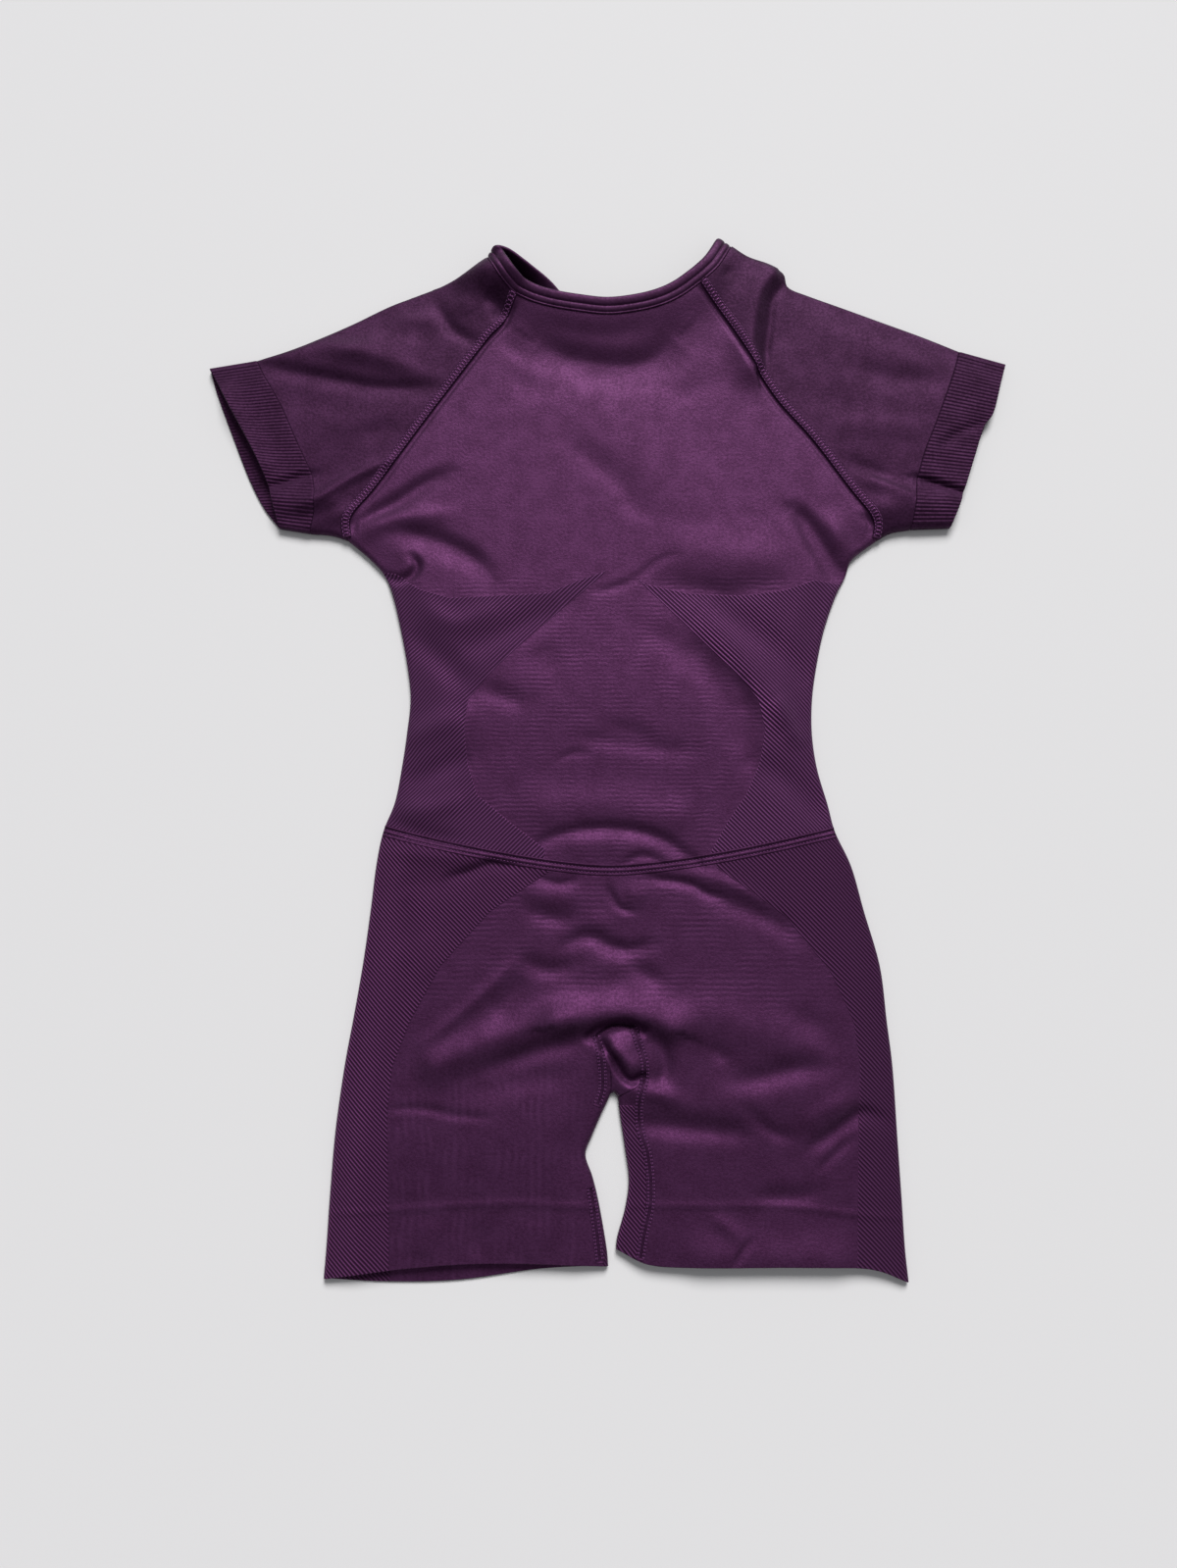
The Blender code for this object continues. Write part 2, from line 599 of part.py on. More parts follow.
def shorts():
    """One tube down to the crotch, cut out for the gusset, and a leg on each side of it."""
    cloth = Cloth()
    layers = []
    for columns, hem_left, hem_right in (
        (LEG_COLUMNS, LEFT_HEM_TOP, RIGHT_HEM_TOP),
        (UNDER_LEG_COLUMNS, LEFT_HEM_UNDER, RIGHT_HEM_UNDER),
    ):
        hips = [side(SHORTS_SECTIONS, name, from_y=ARCH_SIDE_Y) for name in ("left", "right")]
        legs = [side(SHORTS_SECTIONS, name, to_y=ARCH_SIDE_Y) for name in ("left", "right")]
        left_arch = spread([hips[0][0], ARCH_LEFT_HIP, ARCH_LEFT], columns, CRISP_STEPS, CRISP_STEPS)
        right_arch = spread([ARCH_RIGHT, ARCH_RIGHT_HIP, hips[1][0]], columns, CRISP_STEPS, CRISP_STEPS)
        arch = left_arch + [Vector(ARCH_TOP)] + right_arch
        waist = spread(waist_seam(), 2 * columns + 2, CRISP_STEPS, CRISP_STEPS)
        hip = patch(waist, arch, *[spread(line[::-1], HIP_ROWS) for line in hips])
        inner_left = spread(LEFT_INSEAM, GUSSET_ROWS) + spread(LEFT_INNER_LEG, LEG_ROWS)[1:]
        inner_right = spread(RIGHT_INSEAM, GUSSET_ROWS) + spread(RIGHT_INNER_LEG, LEG_ROWS)[1:]
        outer = [spread(line[::-1], GUSSET_ROWS + LEG_ROWS) for line in legs]
        hem_left = spread(hem_left, columns, CRISP_STEPS, CRISP_STEPS)
        hem_right = spread(hem_right, columns, CRISP_STEPS, CRISP_STEPS)
        left_leg = patch(left_arch, hem_left, outer[0], inner_left)
        right_leg = patch(right_arch, hem_right, inner_right, outer[1])
        gusset_rows = range(1, GUSSET_ROWS + 1)
        trim_columns(left_leg, gusset_rows, first=False)
        trim_columns(right_leg, gusset_rows, last=False)
        opening = drawn_in(hip[-1][columns:columns + 3], hip[-2][columns:columns + 3])
        hip[-1][columns:columns + 3] = opening
        left_leg[0][-1], right_leg[0][0] = opening[0], opening[2]
        trim_rows(hip, last=False)
        layers.append((hip, left_leg, right_leg))
    over, under = layers
    all_rows = range(GUSSET_ROWS + LEG_ROWS + 1)
    leg_rows = range(GUSSET_ROWS, GUSSET_ROWS + LEG_ROWS + 1)
    hip_shared = folded_sides(cloth, over[0], under[0], range(HIP_ROWS + 1))
    rows = [cloth.layer(over[0], upper_pair, hip_shared[0]), cloth.layer(under[0], lower_pair, hip_shared[1])]
    outer_left = folded_sides(cloth, over[1], under[1], all_rows[1:], right=False)
    inner_left = folded_sides(cloth, over[1], under[1], leg_rows, left=False)
    outer_right = folded_sides(cloth, over[2], under[2], all_rows[1:], left=False)
    inner_right = folded_sides(cloth, over[2], under[2], leg_rows, right=False)
    for k, (pair, columns) in enumerate(((upper_pair, LEG_COLUMNS), (lower_pair, UNDER_LEG_COLUMNS))):
        last = rows[k][-1]
        left = {**outer_left[k], **inner_left[k]}
        left.update({(0, j): last[j] for j in range(columns + 1)})
        right = {**outer_right[k], **inner_right[k]}
        right.update({(0, j): last[columns + 2 + j] for j in range(columns + 1)})
        cloth.layer((over, under)[k][1], pair, left)
        cloth.layer((over, under)[k][2], pair, right)
    return cloth.object("shorts", "knit")


def gusset():
    """A small diamond that is folded over the crotch, back half above and front half below."""
    fold = along(CROTCH_FOLD, evenly(2))
    arch = [Vector(ARCH_LEFT), Vector(ARCH_TOP), Vector(ARCH_RIGHT)]
    left = spread(LEFT_INSEAM, GUSSET_ROWS)[::-1]
    right = spread(RIGHT_INSEAM, GUSSET_ROWS)[::-1]
    grid = patch(fold, arch, left, right)
    trim_columns(grid, range(len(grid)))
    trim_rows(grid, first=False)
    cloth = Cloth()
    shared = {(0, j): cloth.add(fold_pair(point, grid[1][j] - point)) for j, point in enumerate(grid[0])}
    cloth.layer(grid, upper_pair, shared)
    cloth.layer(grid, lower_pair, shared)
    return cloth.object("crotch_gusset", "knit")


def neckline():
    """Stations of the neck seam: a point, the cloth's outward normal, and how proud the binding stands."""
    stations = []

    def add(points, surface, upward, proud):
        for point in points:
            normal = normal_of(surface, point.x, point.y)
            outer = Vector((point.x, point.y, surface(point.x, point.y)))
            stations.append((outer, normal if upward else -normal, proud))

    def turn(shoulder):
        end = Vector(shoulder[-1])
        run = Vector(shoulder[-1]) - Vector(shoulder[-2])
        across = Vector((-run.y, run.x, 0)).normalized()
        stations.append((end, across if across.y > 0 else -across, BINDING_PROUD / 2))

    add(spread(NECK_BACK, BODY_COLUMNS), upper, True, BINDING_PROUD)
    add(spread(RIGHT_NECK_TOP, NECK_COLUMNS, CURL_STEPS)[-2:0:-1], upper, True, BINDING_PROUD)
    turn(RIGHT_SHOULDER)
    add(spread(RIGHT_NECK_UNDER, NECK_COLUMNS, CURL_STEPS)[1:-1], lower, False, 0.0)
    add(spread(NECK_FRONT[::-1], UNDER_COLUMNS), lower, False, 0.0)
    add(spread(LEFT_NECK_UNDER, NECK_COLUMNS, CURL_STEPS)[-2:0:-1], lower, False, 0.0)
    turn(LEFT_SHOULDER)
    add(spread(LEFT_NECK_TOP, NECK_COLUMNS, CURL_STEPS)[1:-1], upper, True, BINDING_PROUD)
    return stations


def binding():
    """A closed band: a flat rounded section carried round the neckline."""
    start, end = SEAM_GAP / 2, SEAM_GAP / 2 + BINDING_WIDTH
    c = BINDING_CHAMFER
    t = BINDING_THICKNESS
    section = [(start, 0), (end - c, 0), (end, -c), (end, c - t), (end - c, -t), (start, -t)]
    stations = neckline()
    mesh = bmesh.new()
    rings = []
    befores, afters = stations[-1:] + stations[:-1], stations[1:] + stations[:1]
    runs = [after[0] - before[0] for before, after in zip(befores, afters)]
    widths = [station[1].cross(run).normalized() for station, run in zip(stations, runs)]
    for k, (point, normal, proud) in enumerate(stations):
        across = (widths[k - 1] + widths[k] * 2 + widths[(k + 1) % len(widths)]).normalized()
        up = runs[k].cross(across).normalized()
        ring = [point + across * w + up * (n + proud) for w, n in section]
        rings.append([mesh.verts.new(Vector((p.x, p.y, max(p.z, 0.0))) * MM) for p in ring])
    for k, ring in enumerate(rings):
        after = rings[(k + 1) % len(rings)]
        for j in range(len(ring)):
            j_after = (j + 1) % len(ring)
            mesh.faces.new((ring[j], ring[j_after], after[j_after], after[j]))
    bmesh.ops.recalc_face_normals(mesh, faces=mesh.faces)
    return finish(mesh, "neck_binding", "binding")


def clear_scene():
    for existing in list(bpy.data.objects):
        bpy.data.objects.remove(existing, do_unlink=True)


clear_scene()
collection = bpy.data.collections.new("yoga_bodysuit")
bpy.context.scene.collection.children.link(collection)
bodice()
shorts()
gusset()
sleeve(
    "sleeve_left", LEFT_SHOULDER, LEFT_UNDERARM, LEFT_CUFF_SEAM,
    (LEFT_NECK_TOP, LEFT_NECK_UNDER), (LEFT_RAGLAN_BACK, LEFT_RAGLAN_FRONT),
)
sleeve(
    "sleeve_right", RIGHT_SHOULDER, RIGHT_UNDERARM, RIGHT_CUFF_SEAM,
    (RIGHT_NECK_TOP, RIGHT_NECK_UNDER), (RIGHT_RAGLAN_BACK, RIGHT_RAGLAN_FRONT),
)
cuff("cuff_left", LEFT_CUFF_SEAM, LEFT_CUFF_TOP, LEFT_CUFF_UNDER)
cuff("cuff_right", RIGHT_CUFF_SEAM, RIGHT_CUFF_TOP, RIGHT_CUFF_UNDER)
binding()
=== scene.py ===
"""Looks of the yoga bodysuit: each piece of cloth as a thin shell on its solid, with its creases, seams,
stitches, ribs and knit.

Tables are in millimetres in the solids' frame: X to the right sleeve as seen from above, Y to the neck and
Z up from the floor. They repeat the seams and folds of the solids. Meshes are in metres.
"""

import math
from collections import namedtuple

import bpy
import numpy as np
from mathutils import Matrix, Vector


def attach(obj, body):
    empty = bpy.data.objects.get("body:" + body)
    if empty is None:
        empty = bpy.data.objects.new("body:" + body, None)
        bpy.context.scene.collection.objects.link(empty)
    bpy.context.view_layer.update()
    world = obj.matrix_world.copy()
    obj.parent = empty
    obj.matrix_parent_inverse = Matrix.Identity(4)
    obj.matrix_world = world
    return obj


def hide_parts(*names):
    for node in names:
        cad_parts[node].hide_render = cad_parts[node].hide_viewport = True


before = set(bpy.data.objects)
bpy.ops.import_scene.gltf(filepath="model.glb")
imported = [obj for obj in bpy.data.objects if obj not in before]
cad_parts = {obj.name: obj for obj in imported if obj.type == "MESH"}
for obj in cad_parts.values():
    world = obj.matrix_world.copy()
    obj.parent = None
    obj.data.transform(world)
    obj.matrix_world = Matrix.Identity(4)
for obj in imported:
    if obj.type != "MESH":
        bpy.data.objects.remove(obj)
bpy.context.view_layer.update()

MM = 0.001

# Half the step over which a slope or a direction is measured
HALF_STEP = 0.5

# Cloth: wall, size of the cells above and below, the narrow steps in from a fold or an open edge, and how
# much of the wall an open edge loses on each side
WALL = 0.9
CELL = 1.8
UNDER_CELL = 6.0
RAMP = (0.12, 0.28, 0.5, 0.8, 1.2)
LIP = 0.28

# Height of the upper layer between its creases, the least height and how softly it is reached, and the
# least room between the layers
FLAT_HEIGHT = 5.4
LEAST_HEIGHT = 2.6
SOFT_FLOOR = 0.5
LAYER_GAP = 0.5

# Creases: how much they lose at their ends, a factor on their depth, and their reach in widths
FADE = 0.7
DEPTH = 0.85
CREASE_REACH = 3

# Side folds: height of a crisp one, radius as a share of the height, how much lower the layer lies beside
# one, and how far in that reaches
CRISP = 1.6
ROUNDNESS = 0.65
PRESSED = 0.3
FOLD_REACH = 20.0

# Ribbed cuffs: pitch of the ribs, columns of points to a rib, their height, and the step along them
RIB_PITCH = 2.2
RIB_COLUMNS = 6
RIB_HEIGHT = 0.45
RIB_ROW = 1.3

# Crotch opening: cells across it
GUSSET_COLUMNS = 14

# Neck band: step along it, how proud it stands, and how often its line and its two directions are smoothed
NECK_STEP = 1.2
BAND_PROUD = 0.5
LINE_SMOOTHING, OUT_SMOOTHING, ACROSS_SMOOTHING = 6, 8, 10
# The left corner of the band stands up: its angle, how far that reaches to each side, its lean, and how
# much thicker it rolls
CURL = math.radians(62)
CURL_BACK, CURL_FRONT = 9.0, 50.0
CURL_LEAN = (0.6, 0.35, 0.0)
ROLL = 0.9
# Section of the band from the seam out and back underneath
BAND_SECTION = [
    (0.0, -0.3), (0.35, 0.1), (0.8, 0.12), (1.15, -0.3), (1.35, -0.3), (1.75, 0.15), (2.6, 0.3),
    (3.6, 0.3), (4.3, 0.12), (4.7, -0.32), (4.9, -0.32), (5.3, 0.15), (6.2, 0.38), (7.4, 0.42),
    (8.6, 0.3), (9.5, -0.05), (10.0, -0.55), (10.15, -1.1), (10.0, -1.65), (9.3, -2.05), (7.0, -2.2),
    (4.0, -2.2), (1.0, -2.1), (0.0, -1.9),
]

# Stitches: length of one, half the thickness of the thread, its ends' share of that, its sides, the least
# distance from a seam's start and from its end, and the step along a sewn seam
STITCH = 2.1
THREAD = 0.25
THREAD_END = 0.45
THREAD_SIDES = 5
AFTER_START, BEFORE_END = 1.0, 0.8
STRIP_STEP = 1.3
# The ladder of a coverstitch: its share of the seam's width, how deep its rows and its rungs sink, the
# slant of the rungs, and five points along a stitch of a row and of a rung, with their rise
LADDER_WIDTH = 0.86
ROW_SUNK, RUNG_SUNK = 0.05, 0.12
RUNG_SLANT = 0.25
ROW = (-0.4, -0.2, 0.0, 0.2, 0.4)
RUNG = (-0.92, -0.5, 0.0, 0.5, 0.92)
BOW = (0.0, 0.2, 0.28, 0.2, 0.0)
# Straight rows: the pitch and the thread as shares of those above, and five points along a stitch
NEEDLE_PITCH, NEEDLE_THREAD = 0.9, 0.85
NEEDLE = (-0.32, -0.16, 0.0, 0.16, 0.32)
NEEDLE_BOW = (-0.1, 0.06, 0.1, 0.06, -0.1)

# Waist seam: a shallow V that hangs between the side folds
WAIST_LEFT = (-125.0, -56.0)
WAIST_RIGHT = (129.0, -56.0)
WAIST_DIP = 22.0
WAIST_SHARPNESS = 1.5
WAIST_POINTS = 61

# Side folds of the body, from the hems up to the underarms: y, left, right
BODY_SECTIONS = [
    (-297.5, -151, 163),
    (-280, -150, 161.5),
    (-255, -149, 160.5),
    (-220, -147, 159),
    (-185, -143, 157.5),
    (-160, -139, 155),
    (-130, -134.5, 152),
    (-100, -131, 144),
    (-75, -128.5, 137.5),
    (-56, -125, 129),
    (-40, -119, 125),
    (-20, -115.5, 119.5),
    (0, -113, 117),
    (20, -111.5, 117.5),
    (40, -114, 120.5),
    (60, -118, 125),
    (80, -123, 132),
    (92, -128, 138),
    (102, -137, 142),
    (113, -150, 156),
]
ARCH_SIDE_Y = -172.0

# One half of the upper body: its side folds with their height, and its seams, seen from above
Side = namedtuple("Side", "shoulder underarm cuff_seam cuff_top cuff_under raglan_back raglan_front "
                          "neck_top neck_under")
LEFT = Side(
    shoulder=[
        (-207, 223, CRISP), (-191, 228, CRISP), (-174, 235, CRISP), (-151, 246, CRISP),
        (-128, 258, CRISP), (-105, 267, CRISP), (-88, 275, 3), (-72, 285, 6),
    ],
    underarm=[(-172, 117, CRISP), (-160, 116, CRISP), (-150, 113, CRISP)],
    cuff_seam=[(-207, 223), (-202, 213), (-191, 194), (-181, 172), (-171, 150), (-169, 133), (-172, 117)],
    cuff_top=[(-235, 218), (-228, 206), (-218, 188), (-208, 170), (-200, 154), (-195, 140), (-190, 120)],
    cuff_under=[(-235, 218), (-230, 202), (-219, 174), (-209, 150), (-200, 133), (-190, 120)],
    raglan_back=[
        (-150, 113), (-150, 127), (-135, 147), (-109, 185), (-89, 213), (-72, 236), (-63, 246), (-55, 260),
    ],
    raglan_front=[(-150, 113), (-135, 143), (-109, 182), (-89, 212), (-70, 244), (-51, 279)],
    neck_top=[(-72, 285), (-68.5, 277), (-63, 268.5), (-55, 260)],
    neck_under=[(-72, 285), (-68, 288), (-60, 286.5), (-51, 279)],
)
RIGHT = Side(
    shoulder=[
        (208, 229, CRISP), (187, 238, CRISP), (164, 247, CRISP), (141, 256, CRISP), (120, 264, CRISP),
        (108, 269, 2.5), (105, 277, 4), (96, 283, 4), (84, 288, 4), (75, 294, 4),
    ],
    underarm=[(176, 120, CRISP), (165, 118, CRISP), (156, 113, CRISP)],
    cuff_seam=[(208, 229), (203, 213), (193, 186), (185, 166), (180, 148), (178, 133), (176, 120)],
    cuff_top=[(235, 221), (231, 208), (226, 190), (220, 181), (214, 163), (206, 139), (199, 121)],
    cuff_under=[(235, 221), (230, 206), (221, 181), (212, 158), (204, 137), (199, 121)],
    raglan_back=[
        (156, 113), (156, 126), (141, 148), (121, 176), (101, 200), (84, 228), (72, 248), (57, 268),
    ],
    raglan_front=[(156, 113), (141, 146), (121, 174), (101, 199), (83, 236), (65, 273)],
    neck_top=[(75, 294), (71, 286), (65, 276), (57, 268)],
    neck_under=[(75, 294), (73, 287), (70, 280), (65, 273)],
)
NECK_BACK = [
    (-55, 260), (-44, 255), (-32, 251.5), (-18, 249), (0, 247), (18, 249), (33, 253), (45, 259), (57, 268),
]
NECK_FRONT = [(-51, 279), (-40, 267), (-29, 252), (-10, 234), (14, 225), (32, 235), (48, 251), (65, 273)]

# Crotch: the gusset's seams from the arch down to the fold, and the inner folds of the legs
ARCH_LEFT_HIP = (-70.0, -169.0)
ARCH_LEFT = (-5.0, -168.0)
ARCH_TOP = (4.5, -162.5)
ARCH_RIGHT = (16.0, -163.0)
ARCH_RIGHT_HIP = (80.0, -168.0)
LEFT_INSEAM = [ARCH_LEFT, (-1.5, -176), (2.2, -184), (3, -191), (3.2, -196), (3, -200)]
RIGHT_INSEAM = [ARCH_RIGHT, (19, -175), (23, -186), (18, -195), (7, -201.5)]
CROTCH_FOLD = [(3, -200), (5, -199.2), (7, -201.5)]
LEFT_INNER_LEG = [
    (3, -200), (0.5, -205.5), (-2.2, -211), (-7, -222), (-10.5, -232), (-6.5, -244), (-3, -258), (1, -280),
    (2, -290),
]
RIGHT_INNER_LEG = [(7, -201.5), (8.2, -211), (11, -229), (13, -245), (11, -260), (7, -274), (6, -281)]
LEFT_HEM_TOP = [(-151, -297.5), (-112, -292), (-76, -289), (-40, -288.5), (2, -290)]
LEFT_HEM_UNDER = [(-151, -297.5), (-119, -299), (-79, -298), (-35, -292), (2, -290)]
RIGHT_HEM_TOP = [(6, -281), (26, -289), (60, -289.5), (103, -289), (141, -290), (163, -297.5)]
RIGHT_HEM_UNDER = [(6, -281), (26, -287), (60, -288), (103, -288), (141, -290), (163, -297.5)]

# Coverstitched seams of the legs on the upper layer: a line along the middle of each
RIGHT_LEG_SEAM = [
    (15.5, -163.5), (18.4, -172), (21.5, -182), (21.5, -191.5), (19.1, -201), (18.5, -210), (19.6, -219.7),
    (22.9, -229.4), (24.4, -240), (25, -251), (24, -261), (21.3, -272.4), (19, -286),
]
LEFT_LEG_SEAM = [(-4.8, -168), (-2.8, -176), (-1.6, -184), (-1.2, -191), (-1.6, -198), (-4.4, -206)]
LEFT_HEM_SEAM = [(-7.6, -249), (-6.2, -257), (-5, -266), (-3.6, -277), (-2.4, -288)]

# Sections of the sewn seams: across the seam, to its left above zero, and height above the cloth
FLAT_SEAM = [
    (2.75, -0.5), (2.65, 0.15), (2.15, 0.6), (1.4, 0.68), (0.0, 0.55), (-1.4, 0.68), (-2.15, 0.6),
    (-2.65, 0.15), (-2.75, -0.5),
]
NARROW_SEAM = [(2.3, -0.5), (2.2, 0.1), (1.7, 0.45), (0.0, 0.35), (-1.7, 0.45), (-2.2, 0.1), (-2.3, -0.5)]
WAIST_SEAM = [
    (3.3, -0.5), (3.25, 0.5), (2.95, 0.95), (2.45, 0.95), (2.0, 0.55), (1.3, 0.1), (0.9, 0.1), (0.5, 0.5),
    (-0.3, 0.62), (-0.9, 0.45), (-1.3, 0.08), (-1.7, 0.08), (-2.2, 0.4), (-2.8, 0.32), (-3.2, -0.05),
    (-3.3, -0.5),
]
# Rows of stitches beside the middle of a seam, and their rise above the cloth
WAIST_NEEDLES, WAIST_RISE = (1.1, -1.5), 0.2
LEG_NEEDLES, LEG_RISE = (1.9, 1.15, -1.15, -1.9), 0.45

# One crease: points of its line, half width, rise or below zero depth, and lean. Above zero the left side
# along the line is the steep one, below zero the right side
Crease = namedtuple("Crease", "points width rise lean", defaults=[0])


def creases(*rows):
    return [Crease(*row) for row in rows]


# Broad mounds of the upper layer, those of the solids among them, then its creases
MOUNDS = creases(
    # sleeves, cuffs and shoulders
    ([(-195, 224), (-118, 232)], 11, 1.6),
    ([(-192, 134), (-160, 131)], 12, 3.0),
    ([(-226, 196), (-212, 172), (-203, 156)], 9, 4.5),
    ([(-64, 277), (-70, 276)], 14, 8.5),
    ([(196, 131), (164, 129)], 12, 4.2),
    ([(70, 287), (66, 283)], 11, 2.4),
    ([(98, 273), (90, 262), (87, 248), (85, 232), (87, 219)], 8, 4.2, 0.45),
    # back
    ([(-54, 266), (-34, 256), (0, 251), (34, 258), (56, 270)], 14, 4.6),
    ([(-60, 268), (0, 256), (60, 270)], 44, 2.6),
    ([(2, 178), (28, 160), (48, 140)], 20, 0.8),
    ([(-60, 20), (60, 20)], 40, 1.2),
    ([(50, 106), (90, 102)], 15, 1.8),
    # waist and shorts
    ([(-16, -64), (2, -63), (18, -66)], 8, 0.8),
    ([(-36, -44), (0, -42), (36, -48)], 11, 1.4),
    ([(-24, -162), (-6, -158), (6, -156), (20, -157.5), (36, -164)], 9, 5.2, -0.35),
    ([(-92, -184), (-71, -175), (-43, -165), (-20, -157)], 9, 3.4),
    ([(56, -158), (90, -168), (112, -177)], 14, 1.9),
    ([(66, -204), (118, -200)], 14, 2.0),
    ([(56, -286), (122, -287)], 13, 2.6),
    ([(-120, -228), (-30, -226)], 30, 1.4),
)
